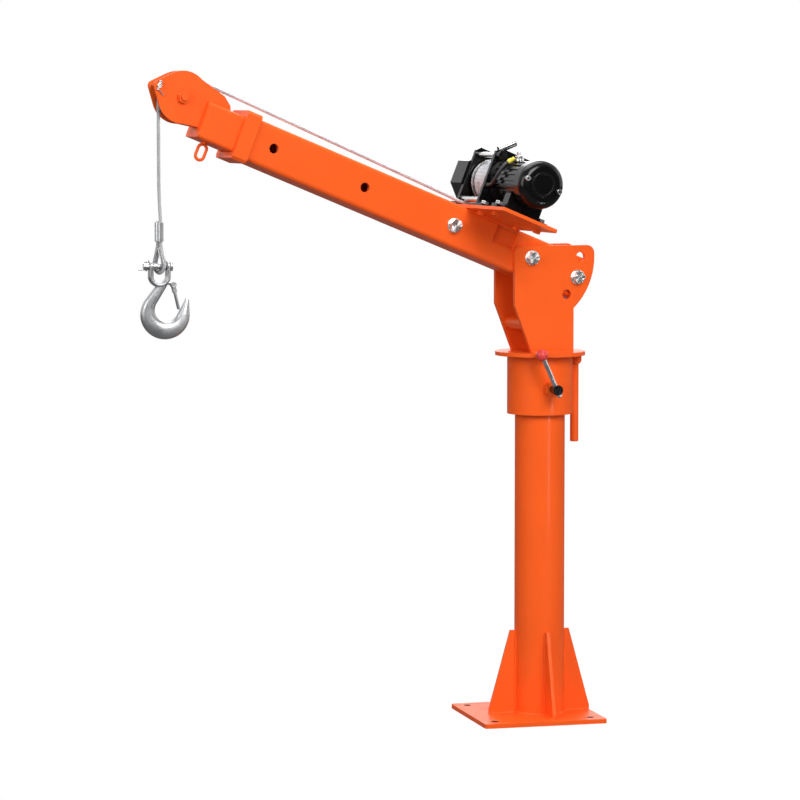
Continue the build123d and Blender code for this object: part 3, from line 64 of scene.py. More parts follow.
# %% [markdown]
# ## Places on the crane
#
# A maker measures a winch from the boom and a hook from its rope, not from the floor. So each sub-part
# gets its own axes, read from the joints: the boom's pivot and slide give the boom's directions, the
# slewing joint gives the mast's, and the sheave and the hook's pin give the line of the hanging rope.

# %% Local axes
def unit(vector):
    """A vector, or each row of an array, divided by its length."""
    vector = np.asarray(vector, float)
    return vector / np.linalg.norm(vector, axis=-1, keepdims=True)


X_AXIS, Y_AXIS, UP = np.eye(3)
ALONG = unit(JOINTS["extend"]["axis"])
NEAR = -unit(JOINTS["luff"]["axis"])
OFF_TOP = np.cross(ALONG, NEAR)
FORWARD = unit(ALONG * (1, 1, 0))
BOOM_AXES = np.stack([ALONG, NEAR, OFF_TOP])
BOOM_ORIGIN = np.array(JOINTS["luff"]["pos_m"])
MAST_ORIGIN = np.array([*JOINTS["slew"]["pos_m"][:2], 0.0])
FALL_TOP = np.array([*JOINTS["hook_swing"]["pos_m"][:2], JOINTS["sheave_spin"]["pos_m"][2]])


def on_boom(points):
    """Boom millimetres (a, n, t) in frame metres: origin + a ALONG + n NEAR + t OFF_TOP."""
    return BOOM_ORIGIN + MM * np.asarray(points, float) @ BOOM_AXES


def on_head(points):
    """Head millimetres (forward, near, up from the ground on the mast's axis) in frame metres."""
    return MAST_ORIGIN + MM * np.asarray(points, float) @ np.stack([FORWARD, NEAR, UP])


def on_hook(points):
    """Millimetres from the top of the hanging rope, along the frame's own axes, in frame metres."""
    return FALL_TOP + MM * np.asarray(points, float)


print("boom points along", ALONG.round(3), "and its motor stands towards", NEAR.round(3))

# %% [markdown]
# ## The camera
#
# The picture was taken with a long lens from a few metres away, a little above the winch and to the
# left of the mast. A long lens keeps the mast's sides nearly parallel. The place and the lens were
# worked out from edges and bolts whose real positions are known, so the crane lines up without any
# shift of the lens.

# %% Camera
CAMERA_AT = (-1.827, -5.973, 1.096)
CAMERA_AZIMUTH = math.radians(-14.9)
CAMERA_PITCH = 4.84
FOCAL_PIXELS = 3521.7
PICTURE_PIXELS = 800
SENSOR_WIDTH = 36.0
FURTHEST_SEEN = 60.0

camera_data = bpy.data.cameras.new("studio_camera")
camera_data.sensor_width = SENSOR_WIDTH
camera_data.lens = SENSOR_WIDTH * FOCAL_PIXELS / PICTURE_PIXELS
camera_data.clip_end = FURTHEST_SEEN
camera = bpy.data.objects.new("studio_camera", camera_data)
camera.location = CAMERA_AT
camera.rotation_euler = (math.radians(90 - CAMERA_PITCH), 0, CAMERA_AZIMUTH)
bpy.context.scene.collection.objects.link(camera)
bpy.context.scene.camera = camera
print("lens", round(camera_data.lens, 1), "mm")

# %% [markdown]
# ## Surfaces from grids
#
# Every new piece below is a surface worked out as one array of points: rows run along the piece and
# columns run round it. One helper turns such a grid into a mesh, closes it, and keeps a map of the
# distance along and the share of the way round, which the rope's finish reads.

# %% From grid to mesh
def travelled(line):
    """The distance gone at each point of a line."""
    return np.concatenate([[0.0], np.cumsum(np.linalg.norm(np.diff(line, axis=0), axis=1))])


def cells(grid):
    """The four corners of every cell of a grid, in order round the cell."""
    return np.stack([grid[:-1, :-1], grid[:-1, 1:], grid[1:, 1:], grid[1:, :-1]], 2)


def surface(name, points, ring=True, loop=False, caps=True, sharp=40.0):
    """A piece from a grid of points with shape (rows, columns, 3).

    Face (i, j) joins points (i, j), (i, j+1), (i+1, j+1) and (i+1, j). Ring joins the last column to
    the first, loop joins the last row to the first, and caps closes the two end rows with one face each.
    """
    rows, columns = points.shape[:2]
    index = np.arange(rows * columns).reshape(rows, columns)
    grid = index[np.ix_(np.arange(rows + loop) % rows, np.arange(columns + ring) % columns)]
    faces = cells(grid).reshape(-1, 4).tolist()
    if caps and not loop:
        faces += [index[0, ::-1].tolist(), index[-1].tolist()]
    mesh = bpy.data.meshes.new(name)
    mesh.from_pydata(points.reshape(-1, 3).tolist(), [], faces)
    middle = points.mean(1)
    along = travelled(np.concatenate([middle, middle[:1]]) if loop else middle)
    around = np.arange(columns + ring) / columns
    corners = cells(np.stack(np.meshgrid(along, around, indexing="ij"), -1)).reshape(-1, 2)
    run = np.zeros((len(mesh.loops), 2), np.float32)
    run[: len(corners)] = corners
    mesh.uv_layers.new(name="run").uv.foreach_set("vector", run.ravel())
    mesh.shade_smooth()
    mesh.set_sharp_from_angle(angle=math.radians(sharp))
    piece = bpy.data.objects.new(name, mesh)
    bpy.context.scene.collection.objects.link(piece)
    return piece


reach_of_crane = travelled(np.stack([MAST_ORIGIN, BOOM_ORIGIN, FALL_TOP]))
print("from the mast's foot over the boom's pivot to the rope's top:", reach_of_crane.round(3), "m")

# %% [markdown]
# A tube, a bead or a strip is a flat profile that travels. At each point of the line a small square of
# two directions is set up, one along a given reference, and the profile is drawn in it. That is what a
# curve's bevel does too, but here the profile may change on its way.

# %% Profiles along lines
LEAST_POINTS = 3


def carry(line, reference, across, over):
    """A profile carried along a line: row i, column j is line[i] + across[i, j] N[i] + over[i, j] B[i].

    B is the reference direction made square to the direction of travel T, and N = B x T, so that a
    profile which runs from N towards B faces outwards.
    """
    travel = unit(np.gradient(line, axis=0))
    reference = np.broadcast_to(np.asarray(reference, float), travel.shape)
    b = unit(reference - (reference * travel).sum(1, keepdims=True) * travel)
    n = np.cross(b, travel)
    across = np.broadcast_to(across, (len(line), np.shape(across)[-1]))
    over = np.broadcast_to(over, (len(line), np.shape(over)[-1]))
    return line[:, None] + across[..., None] * n[:, None] + over[..., None] * b[:, None]


def circle(sides):
    """The cosines and sines of equal steps round a circle."""
    angle = np.linspace(0, 2 * np.pi, sides, endpoint=False)
    return np.cos(angle), np.sin(angle)


def tube(name, line, reference, radius, sides):
    """A round tube: each ring is radius (cos t, sin t), where the radius may change along the line."""
    cosine, sine = circle(sides)
    radius = np.broadcast_to(np.asarray(radius, float), len(line))[:, None]
    return surface(name, carry(line, reference, radius * cosine, radius * sine))


def even(line, step):
    """Points about a step apart along a line, by its own length."""
    reach = travelled(line)
    wanted = np.linspace(0, reach[-1], max(LEAST_POINTS, int(round(reach[-1] / step)) + 1))
    return np.stack([np.interp(wanted, reach, line[:, axis]) for axis in range(3)], 1)


boom_line = even(np.stack([BOOM_ORIGIN, FALL_TOP]), 100 * MM)
print("points 100 mm apart from the boom's pivot to the rope's top:", len(boom_line))

# %% [markdown]
# ## The rope's way
#
# One steel rope starts in the drum, winds along it, leaves its underside, dips under the guide bar,
# runs to the sheave, turns over it and falls to the hook. Rope under load is straight between the
# things that bend it, so each stretch has only a few route points. A smooth spline of order 3 follows
# them. On a circle such a spline touches the middle of each side of its outline, so the outline's
# corners stand off by one over the cosine of half a step.

# %% Rope route points
DRUM_AXIS = np.array([87.0, 106.0])
WIND_RADIUS = 36.0
WIND_PITCH = 6.5
WIND_TURNS = 8.5
WIND_CORNERS_A_TURN = 16
LEAVING_ANGLE = -22.26
ANCHOR_TURNS = np.array([-34.0, -16.0])
ANCHOR_REACH = np.array([24.0, 32.0])
SHEAVE_AXIS = np.array([693.0, 22.7])
SHEAVE_RADIUS = 39.0
SHEAVE_CORNERS = 3
ARRIVING_ANGLE = 91.0
FALLING_ANGLE = -22.0
RUN_ROUTE = [
    (73.36, -27.63, 72.68),
    (91.14, -27.63, 65.41),
    (124.12, -27.63, 49.99),
    (160.41, -25.88, 52.40),
    (656.37, -1.75, 61.07),
    (692.32, 0.0, 61.69),
]
FALL_ROUTE = [
    (0.0, 0.0, 0.0),
    (0.0, 0.0, -36.0),
    (0.0, 0.0, -150.0),
    (0.8, -1.7, -184.0),
    (1.7, -3.6, -203.0),
    (1.7, -3.6, -211.0),
]
print("turns on the drum:", WIND_TURNS)

# %% Rope routes
def polar(centre, reach, turn):
    """Flat points by their distance from a centre and their angle in radians."""
    reach = np.broadcast_to(np.asarray(reach, float), len(turn))[:, None]
    return centre + reach * np.stack([np.cos(turn), np.sin(turn)], 1)


def stand(flat, across):
    """Flat points set up in space: their first number, a distance across, and their second number."""
    return np.stack([flat[..., 0], np.broadcast_to(across, flat.shape[:-1]), flat[..., 1]], -1)


def arc_corners(centre, radius, first, last, count):
    """An arc's ends and, between them, its outline's corners at radius / cos(half a step), in degrees."""
    half = math.radians(last - first) / count / 2
    turns = np.radians(first) + half * np.concatenate([[0], np.arange(1, 2 * count, 2), [2 * count]])
    reach = np.full(count + 2, radius / math.cos(half))
    reach[[0, -1]] = radius
    return polar(centre, reach, turns)


def winding_route():
    """The drum's layer: the rope comes out of the drum, then moves over by one pitch in each turn."""
    last = LEAVING_ANGLE - 90
    first = last - 360 * WIND_TURNS
    ring = arc_corners(DRUM_AXIS, WIND_RADIUS, first, last, int(WIND_TURNS * WIND_CORNERS_A_TURN))
    half = WIND_TURNS * WIND_PITCH / 2
    share = np.concatenate([[0], (np.arange(len(ring) - 2) + 0.5) / (len(ring) - 2), [1]])
    anchor = polar(DRUM_AXIS, ANCHOR_REACH, np.radians(first + ANCHOR_TURNS))
    return np.concatenate([stand(anchor, half), stand(ring, half - 2 * half * share)])


def sheave_route():
    """The stretch over the sheave, in its middle plane."""
    arc = arc_corners(SHEAVE_AXIS, SHEAVE_RADIUS, ARRIVING_ANGLE, FALLING_ANGLE, SHEAVE_CORNERS)
    return stand(arc, 0.0)


rope_routes = {
    "rope_winding": on_boom(winding_route()),
    "rope_run": on_boom(RUN_ROUTE),
    "rope_over_sheave": on_boom(sheave_route()),
    "rope_fall": on_hook(FALL_ROUTE),
}
print("route points:", {name: len(route) for name, route in rope_routes.items()})

# %% [markdown]
# ## The rope eye
#
# At its end the rope goes round a thimble and back into a pressed ferrule with two barrels. A plain ring
# would miss the two legs in the barrels, so the eye is one route: a leg down, an arc and a leg up. It is
# turned a little about the fall, as such eyes settle, and its short end shows above the second barrel.

# %% Rope eye
EYE_TURN = math.radians(25.0)
EYE_CENTRE = (0.0, -282.7)
EYE_RADIUS = 14.7
EYE_TOUCH = 20.93
EYE_CORNERS = 8
STRAND_OFFSET = 4.0
FERRULE_END = -244.0
EYE_SHOULDER = -252.0
DEAD_END = -209.6
EYE_SIDE = np.array([-math.sin(EYE_TURN), math.cos(EYE_TURN), 0.0])
EYE_FACE = np.array([math.cos(EYE_TURN), math.sin(EYE_TURN), 0.0])

eye_route = np.concatenate([
    [(-STRAND_OFFSET, FERRULE_END), (-STRAND_OFFSET, EYE_SHOULDER)],
    arc_corners(EYE_CENTRE, EYE_RADIUS, 180 - EYE_TOUCH, 360 + EYE_TOUCH, EYE_CORNERS),
    [(STRAND_OFFSET, EYE_SHOULDER), (STRAND_OFFSET, FERRULE_END), (STRAND_OFFSET, DEAD_END)],
])
rope_routes["rope_eye"] = on_hook(eye_route @ np.stack([EYE_SIDE, UP]))
print("eye stands across", EYE_SIDE.round(2))

# %% [markdown]
# ## Smooth lines
#
# Blender draws the spline itself. A curve with no thickness gives its points, and these are spread
# evenly along it, so that the strands keep one step from end to end.

# %% Splines
SPLINE_STEPS = 12
ROPE_STEP = 2.0 * MM


def places_in(items, field):
    """Where the points or faces of a mesh are, one row each."""
    places = np.empty(len(items) * 3)
    items.foreach_get(field, places)
    return places.reshape(-1, 3)


def spline_line(route, step):
    """Even points on the NURBS spline of order 3 that has the route's points as its control points."""
    curve = bpy.data.curves.new("route", "CURVE")
    curve.dimensions = "3D"
    curve.resolution_u = SPLINE_STEPS
    spline = curve.splines.new("NURBS")
    spline.points.add(len(route) - 1)
    spline.points.foreach_set("co", np.column_stack([route, np.ones(len(route))]).ravel())
    spline.order_u = 3
    spline.use_endpoint_u = True
    drawn = bpy.data.objects.new("route", curve)
    mesh = bpy.data.meshes.new_from_object(drawn)
    line = places_in(mesh.vertices, "co")
    bpy.data.objects.remove(drawn)
    bpy.data.curves.remove(curve)
    bpy.data.meshes.remove(mesh)
    return even(line, step)


def length_of(line):
    """The length of a line through its points."""
    return float(travelled(line)[-1])


rope_lines = {name: spline_line(route, ROPE_STEP) for name, route in rope_routes.items()}
print("lengths in metres:", {name: round(length_of(line), 3) for name, line in rope_lines.items()})

# %% [markdown]
# ## Stranded rope
#
# Wire rope is six strands twisted round a core, and its lay is what tells the eye that it is rope. A
# bump would look painted on at the outline, so the strands are real: the section is six touching
# circles, and it turns once in each lay length as it travels. The turn goes on from one stretch to the
# next, so the strands meet where stretches join.

# %% Rope pieces
ROPE_RADIUS = 3.0 * MM
ROPE_LAY = 40.0 * MM
STRAND_COUNT = 6
STRAND_SIDES = 8
STRAND_SHARP = 75.0


def strand_section():
    """The angle and radius share round a rope of six touching strands.

    With t the angle from the middle of the nearest strand, the share is
    (2 cos t + sqrt(1 - 4 sin^2 t)) / 3.
    """
    angle = np.linspace(0, 2 * np.pi, STRAND_COUNT * STRAND_SIDES, endpoint=False)
    half = np.pi / STRAND_COUNT
    t = (angle + half) % (2 * half) - half
    return angle, (2 * np.cos(t) + np.sqrt(np.maximum(1 - 4 * np.sin(t) ** 2, 0))) / 3


def stranded(name, line, reference, start):
    """A stranded rope along a line, whose section has turned by 2 pi start / lay where it begins."""
    angle, share = strand_section()
    gone = start + np.linspace(0, length_of(line), len(line))
    turned = angle + 2 * np.pi * gone[:, None] / ROPE_LAY
    reach = ROPE_RADIUS * share
    points = carry(line, reference, reach * np.cos(turned), reach * np.sin(turned))
    piece = surface(name, points, sharp=STRAND_SHARP)
    crown = piece.data.attributes.new("crown", "FLOAT", "POINT")
    crown.data.foreach_set("value", np.tile(share, len(line)).astype(np.float32))
    return piece


ropes = {}
laid = 0.0
for name, line in rope_lines.items():
    ropes[name] = stranded(name + "_strands", line, EYE_FACE if name == "rope_eye" else NEAR, laid)
    laid += length_of(line)
    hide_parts(name)
print("rope from drum to dead end", round(laid, 2), "m")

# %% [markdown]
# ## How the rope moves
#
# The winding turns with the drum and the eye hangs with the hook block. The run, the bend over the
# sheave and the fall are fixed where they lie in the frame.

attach(ropes["rope_winding"], "drum")
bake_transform(ropes["rope_run"])
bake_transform(ropes["rope_over_sheave"])
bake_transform(ropes["rope_fall"])
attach(ropes["rope_eye"], "hook_block")

for name, far_end, lay in (
    ("rope_winding", "object", "coiled"),
    ("rope_run", "object", "taut"),
    ("rope_over_sheave", "object", "taut"),
    ("rope_fall", "fitting", "taut"),
    ("rope_eye", "object", "taut"),
):
    line = rope_lines[name]
print("rope stretches that move:", len(ropes))

# %% [markdown]
# ## Motor leads
#
# Two short leads come out of the winch frame, bend up over the motor and end under the nuts of the
# terminal posts. Each ends in a soft boot and a ring terminal. A curve with a round bevel would do for
# the lead alone, but the boot swells and tapers, so both are tubes from one function. The terminal is
# flat metal: a ring round the post, and a tongue that the boot grips.

# %% Places of the leads and posts
FRONT_AND_REAR = (("front", 1), ("rear", -1))
LEAD_CIRCLE = 46.0
GLAND_FACE = 52.0
LEAD_ROUTE = np.array([
    (-25.0, 0.0), (-25.0, 15.0), (-10.0, 30.0), (12.0, 37.5), (32.0, 38.0), (52.0, 38.0),
])
POST_ANGLE = math.radians(64.0)
POST_NEAR = 90.0


def lead_route(side):
    """The lead's route round the motor's axis, for the front side +1 or the rear side -1."""
    ring = polar((0.0, 0.0), LEAD_CIRCLE, np.radians(LEAD_ROUTE[:, 0]))
    return stand(DRUM_AXIS + (side, 1) * ring, GLAND_FACE + LEAD_ROUTE[:, 1])


def post_point(side, height, sideways=0.0):
    """A point of a terminal post, by its height from the motor's axis and a step towards the lead."""
    x = height * math.cos(POST_ANGLE) + sideways * math.sin(POST_ANGLE)
    z = height * math.sin(POST_ANGLE) - sideways * math.cos(POST_ANGLE)
    return on_boom((DRUM_AXIS[0] + side * x, POST_NEAR, DRUM_AXIS[1] + z))


post_gap = np.linalg.norm(post_point(1, LEAD_CIRCLE) - post_point(-1, LEAD_CIRCLE))
print("the two posts stand", round(float(post_gap), 3), "m apart")

# %% Boots and terminals
LEAD_RADIUS = 3.0 * MM
LEAD_STEP = 1.0 * MM
LEAD_SIDES = 20
LEAD_TOP = ALONG + OFF_TOP
BOOT_POINTS = 15
BOOT_SIDES = 24
BOOT_MOUTH = 1.08
BOOT_BULGE = 0.34
BOOT_TAPER = 1.3
BOOT_FULLNESS = 0.7
RING_HEIGHT = 43.0
RING_THICK = 1.4
RING_MIDDLE = 5.6
RING_HALF_WIDTH = 2.2
RING_SEGMENTS = 40
TONGUE_HALF_WIDTH = 2.6
TONGUE_REACH = 6.0
TONGUE_GRIP = 3


def boot(name, line):
    """A tube over the lead's end: its radius is the lead's times m + b sin(pi min(1.3 s, 1))^0.7."""
    share = np.clip(np.linspace(0, 1, BOOT_POINTS) * BOOT_TAPER, 0, 1)
    swell = LEAD_RADIUS * (BOOT_MOUTH + BOOT_BULGE * np.sin(np.pi * share) ** BOOT_FULLNESS)
    return tube(name, line[-BOOT_POINTS:], LEAD_TOP, swell, BOOT_SIDES)


def ring_terminal(label, side, line):
    """A rectangle carried round the post for the ring, and another carried from the lead to the ring."""
    centre = post_point(side, RING_HEIGHT)
    outward = unit(post_point(side, RING_HEIGHT + 1) - centre)
    cosine, sine = circle(RING_SEGMENTS)
    radial = cosine[:, None] * np.cross(NEAR, outward) + sine[:, None] * NEAR
    half_thick = MM * RING_THICK / 2
    wide = MM * (RING_MIDDLE + RING_HALF_WIDTH * np.array([1, 1, -1, -1]))
    high = half_thick * np.array([-1, 1, 1, -1])
    points = centre + wide[:, None] * radial[:, None] + high[:, None] * outward
    ring = surface(f"lead_ring_{label}", points[:, ::-1], loop=True, caps=False)
    grip = even(np.stack([line[-TONGUE_GRIP], post_point(side, RING_HEIGHT, TONGUE_REACH)]), LEAD_STEP)
    across = MM * TONGUE_HALF_WIDTH * np.array([-1, 1, 1, -1])
    over = half_thick * np.array([-1, -1, 1, 1])
    return [ring, surface(f"lead_tongue_{label}", carry(grip, outward, across, over))]


print("a boot covers", BOOT_POINTS - 1, "mm of its lead")

# %% Motor leads
leads, boots, terminals, lead_lines = [], [], [], []
for label, side in FRONT_AND_REAR:
    line = spline_line(on_boom(lead_route(side)), LEAD_STEP)
    lead_lines.append(line)
    leads.append(tube(f"motor_lead_{label}", line, LEAD_TOP, LEAD_RADIUS, LEAD_SIDES))
    boots.append(boot(f"lead_boot_{label}", line))
    terminals += ring_terminal(label, side, line)
print("motor lead pieces", len(leads + boots + terminals))

# %% [markdown]
# Every loose piece rides on a body of the frame, and one helper says so.

# %% Riding of the leads
def mount(piece, body):
    """A piece that rides on a body."""
    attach(piece, body)
    return piece


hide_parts("motor_leads")
for pieces, slot in ((leads, "winch_black"), (boots, "lead_sleeve"), (terminals, "bright_steel")):
    for piece in pieces:
        mount(piece, "boom")
for number, line in enumerate(lead_lines):
    print(leads[number].name, round(length_of(line), 3), "m")

# %% [markdown]
# ## Weld beads
#
# The crane is a welded frame: the mast stands in a bead on the base plate, the gussets have beads on
# both sides, and the sleeve, the head plates, the winch deck, the collar and the sheave cheeks are all
# welded on. A bead could be a chamfer, but its ripples are what shows that it is weld. So a bead is a
# tube, half sunk in the corner, whose radius rises and falls once for each puddle and drifts a little
# along the seam.

# %% Weld bead
WELD_RADIUS = 3.0 * MM
WELD_STEP = 0.9 * MM
WELD_PUDDLE = 4.2 * MM
WELD_SIDES = 12
WELD_LEAST = 0.9
WELD_RIPPLE = 0.14
WELD_DRIFT = 0.05
WELD_DRIFT_RATE = 0.7
WELD_END_STEPS = 3
WELD_END_LEAST = 0.25


def weld(name, line, reference, body, radius=WELD_RADIUS, closed=False):
    """A bead along a line: radius (0.9 + 0.14 |sin(pi s)| + 0.05 sin(0.7 s)), with s the puddles gone by.

    With e the share of the steps from an end, an open bead is rounded off there by sqrt(1 - (1 - e)^2).
    """
    line = even(np.asarray(line, float), WELD_STEP)
    line = line[:-1] if closed else line
    s = np.linspace(0, length_of(line), len(line)) / WELD_PUDDLE
    ripple = WELD_RIPPLE * np.abs(np.sin(np.pi * s)) + WELD_DRIFT * np.sin(WELD_DRIFT_RATE * s)
    swell = radius * (WELD_LEAST + ripple)
    if not closed:
        steps = np.arange(len(line))
        ends = np.clip(np.minimum(steps, steps[::-1]) / WELD_END_STEPS, 0, 1)
        swell = swell * np.sqrt(1 - (1 - ends) ** 2).clip(WELD_END_LEAST, 1)
    cosine, sine = circle(WELD_SIDES)
    points = carry(line, reference, swell[:, None] * cosine, swell[:, None] * sine)
    return mount(surface(name, points, loop=closed, caps=not closed), body)


def ring_line(height, radius, count=181):
    """A closed level circle round the mast, in millimetres; its last point is its first."""
    t = np.linspace(0, 2 * np.pi, count)[:, None]
    return MAST_ORIGIN + MM * height * UP + MM * radius * (np.cos(t) * X_AXIS + np.sin(t) * Y_AXIS)


print("a puddle is drawn in", round(WELD_PUDDLE / WELD_STEP, 1), "steps")

# %% Weld beads on the mast and head
NEAR_AND_FAR = (("near", 1), ("far", -1))
MAST_RADIUS = 44.5
MAST_BEAD_RADIUS = 45.1
PLATE_TOP = 8.0
GUSSET_HALF = 3.0
GUSSET_FOOT = 92.0
GUSSET_TOP = 154.0
GUSSET_WELD = 2.6 * MM
SLEEVE_RADIUS = 58.5
FLANGE_BOTTOM = 648.0
FLANGE_TOP = 655.0
HEAD_OUTER = 46.0
HEAD_FOOT = (-43.0, 36.0)

beads = [
    weld("weld_mast_foot", ring_line(PLATE_TOP, MAST_BEAD_RADIUS), UP, "base", closed=True),
    weld("weld_sleeve_top", ring_line(FLANGE_BOTTOM, SLEEVE_RADIUS), UP, "slew_head", closed=True),
]
for quarter in range(4):
    outward = np.array([math.cos(quarter * math.pi / 2), math.sin(quarter * math.pi / 2), 0.0])
    for label, side in (("left", 1), ("right", -1)):
        corner = MAST_ORIGIN + MM * side * GUSSET_HALF * np.cross(UP, outward)
        foot = [corner + MM * (reach * outward + PLATE_TOP * UP) for reach in (MAST_RADIUS, GUSSET_FOOT)]
        root = [corner + MM * (MAST_RADIUS * outward + height * UP) for height in (PLATE_TOP, GUSSET_TOP)]
        beads.append(weld(f"weld_gusset_foot_{quarter}_{label}", foot, UP, "base", GUSSET_WELD))
        beads.append(weld(f"weld_gusset_root_{quarter}_{label}", root, outward, "base", GUSSET_WELD))
for label, side in NEAR_AND_FAR:
    feet = on_head([(x, side * HEAD_OUTER, FLANGE_TOP) for x in HEAD_FOOT])
    beads.append(weld(f"weld_head_plate_{label}", feet, UP, "slew_head"))
print("weld beads on the mast and head:", len(beads))

# %% [markdown]
# The boom's seams are along the winch deck, round the collar and beside the sheave cheeks. The collar's
# bead follows a square with rounded corners: the points of a smaller square, each moved out by the
# corner's radius.

# %% Weld beads on the boom
DECK_SPAN = (38.0, 141.0)
DECK_SEAM = (34.5, 36.3)
BOOM_CORNER = 8.0
COLLAR_START = 556.0
COLLAR_SEAM = 38.0
COLLAR_WELD = 2.4 * MM
CHEEK_SPAN = (607.0, 649.0)
CHEEK_SEAM = (17.0, 32.0)
CHEEK_WELD = 2.2 * MM


def square_ring(along, half, corner, count=241):
    """A rounded square across the boom: points of a square of half-side h - c, each moved out by c."""
    t = np.linspace(0, 2 * np.pi, count)
    flat = np.stack([np.cos(t), np.sin(t)], 1)
    flat = flat / np.abs(flat).max(1, keepdims=True) * half
    inner = np.clip(flat, corner - half, half - corner)
    return on_boom(np.column_stack([np.full(count, along), inner + corner * unit(flat - inner)]))


collar_line = square_ring(COLLAR_START, COLLAR_SEAM, BOOM_CORNER)
beads.append(weld("weld_collar", collar_line, ALONG, "boom", COLLAR_WELD, closed=True))
for label, side in NEAR_AND_FAR:
    deck = on_boom([(along, side * DECK_SEAM[0], DECK_SEAM[1]) for along in DECK_SPAN])
    seat = on_boom([(along, side * CHEEK_SEAM[0], CHEEK_SEAM[1]) for along in CHEEK_SPAN])
    beads.append(weld(f"weld_deck_{label}", deck, NEAR, "boom"))
    beads.append(weld(f"weld_cheek_{label}", seat, OFF_TOP, "extension", CHEEK_WELD))
print("weld beads in all:", len(beads))

# %% [markdown]
# ## The forged hook
#
# A lifting hook is forged: its section is a fat oval in the bowl, where it bends most, and thins to a
# blunt tip. Cut from plate it would look wrong however round its edges. So the body is a surface
# between two lines, the inside and the outside of the hook, and each section is a superellipse: an
# ellipse whose sides are a little flattened.

# %% Hook outlines
def touch_angle(centre, radius, point, side):
    """The angle on a circle at which the tangent from a point touches it, on the given side."""
    away = point - centre
    return math.atan2(away[1], away[0]) + side * math.acos(radius / math.hypot(*away))


def hook_edge(start, centre, radius, end, counts):
    """A straight, an arc below a circle's centre and a straight, each with its own count of points."""
    first = touch_angle(centre, radius, start, 1)
    last = touch_angle(centre, radius, end, -1)
    first = first - 2 * math.pi if first > last else first
    arc = polar(centre, radius, np.linspace(first, last, counts[1]))
    down = start + np.linspace(0, 1, counts[0], endpoint=False)[:, None] * (arc[0] - start)
    rise = arc[-1] + np.linspace(0, 1, counts[2] + 1)[1:, None] * (end - arc[-1])
    return np.concatenate([down, arc, rise])


def oval(half_width, half_depth, sides, power):
    """A superellipse per row: (w sgn(cos t) |cos t|^(2/n), d sgn(sin t) |sin t|^(2/n))."""
    across, deep = (np.sign(wave) * np.abs(wave) ** (2 / power) for wave in circle(sides))
    return np.asarray(half_width)[:, None] * across, np.asarray(half_depth)[:, None] * deep


print("an eighth of the way round, a flattened oval reaches", oval([1.0], [1.0], 8, 4)[0][0, 1].round(2))

# %% Hook body
BOWL = np.array([9.5, -368.0])
BOWL_RADIUS = 42.5
THROAT = np.array([12.0, -359.8])
THROAT_RADIUS = 20.4
NECK_LEFT = np.array([-2.0, -314.0])
NECK_RIGHT = np.array([16.0, -314.0])
TIP_MIDDLE = np.array([47.5, -344.0])
TIP_HALF = 3.5
TIP_DEPTH = 5.2
TIP_LEAST = 0.04
TIP_STEPS = 8
HOOK_HALF = 10.0
HOOK_COUNTS = (20, 70, 24)
HOOK_SIDES = 40
HOOK_SQUARENESS = 2.7
HOOK_SHARP = 60.0
THINNING_START = 0.55
THINNING_POWER = 1.6


def hook_body():
    """Sections between the inside and outside lines, closed at the tip by a dome."""
    outside = hook_edge(NECK_LEFT, BOWL, BOWL_RADIUS, TIP_MIDDLE + (TIP_HALF, 0), HOOK_COUNTS)
    inside = hook_edge(NECK_RIGHT, THROAT, THROAT_RADIUS, TIP_MIDDLE - (TIP_HALF, 0), HOOK_COUNTS)
    middle = (outside + inside) / 2
    half = np.linalg.norm(outside - inside, axis=1) / 2
    way = unit(inside - outside)
    thinning = np.clip((np.linspace(0, 1, len(middle)) - THINNING_START) / (1 - THINNING_START), 0, 1)
    depth = HOOK_HALF - (HOOK_HALF - TIP_DEPTH) * thinning**THINNING_POWER
    dome = np.linspace(0, np.pi / 2, TIP_STEPS + 1)[1:]
    rise = np.stack([np.zeros(TIP_STEPS), np.sin(dome) * TIP_HALF], 1)
    shrink = np.cos(dome).clip(TIP_LEAST)
    middle = np.concatenate([middle, middle[-1] + rise])
    half = np.concatenate([half, half[-1] * shrink])
    depth = np.concatenate([depth, depth[-1] * shrink])
    way = np.concatenate([way, np.repeat(way[-1:], TIP_STEPS, 0)])
    across, deep = oval(half, depth, HOOK_SIDES, HOOK_SQUARENESS)
    return on_hook(stand(middle[:, None] + across[..., None] * way[:, None], deep))


hook_piece = surface("hook_body", hook_body()[:, ::-1], sharp=HOOK_SHARP)
print("hook body", len(hook_piece.data.polygons), "faces")

# %% [markdown]
# The hook's top is a fork: a bar bent to a U, with ears rounded about the clevis pin. It is an oval
# carried along the U, and its depth follows a circle over the ears. A short lug beside it carries the
# latch, and a web joins the lug to the neck.

# %% Hook fork
PIN_HEIGHT = -286.0
FORK_MIDDLE = 14.75
FORK_HALF = 3.75
FORK_BEND = -303.0
FORK_SIDES = 32
FORK_SQUARENESS = 4.5
BEND_STEPS = 60
LIMB_STEPS = 8
EAR_RADIUS = 11.0
EAR_STEPS = 16
EAR_TRIM = 0.985


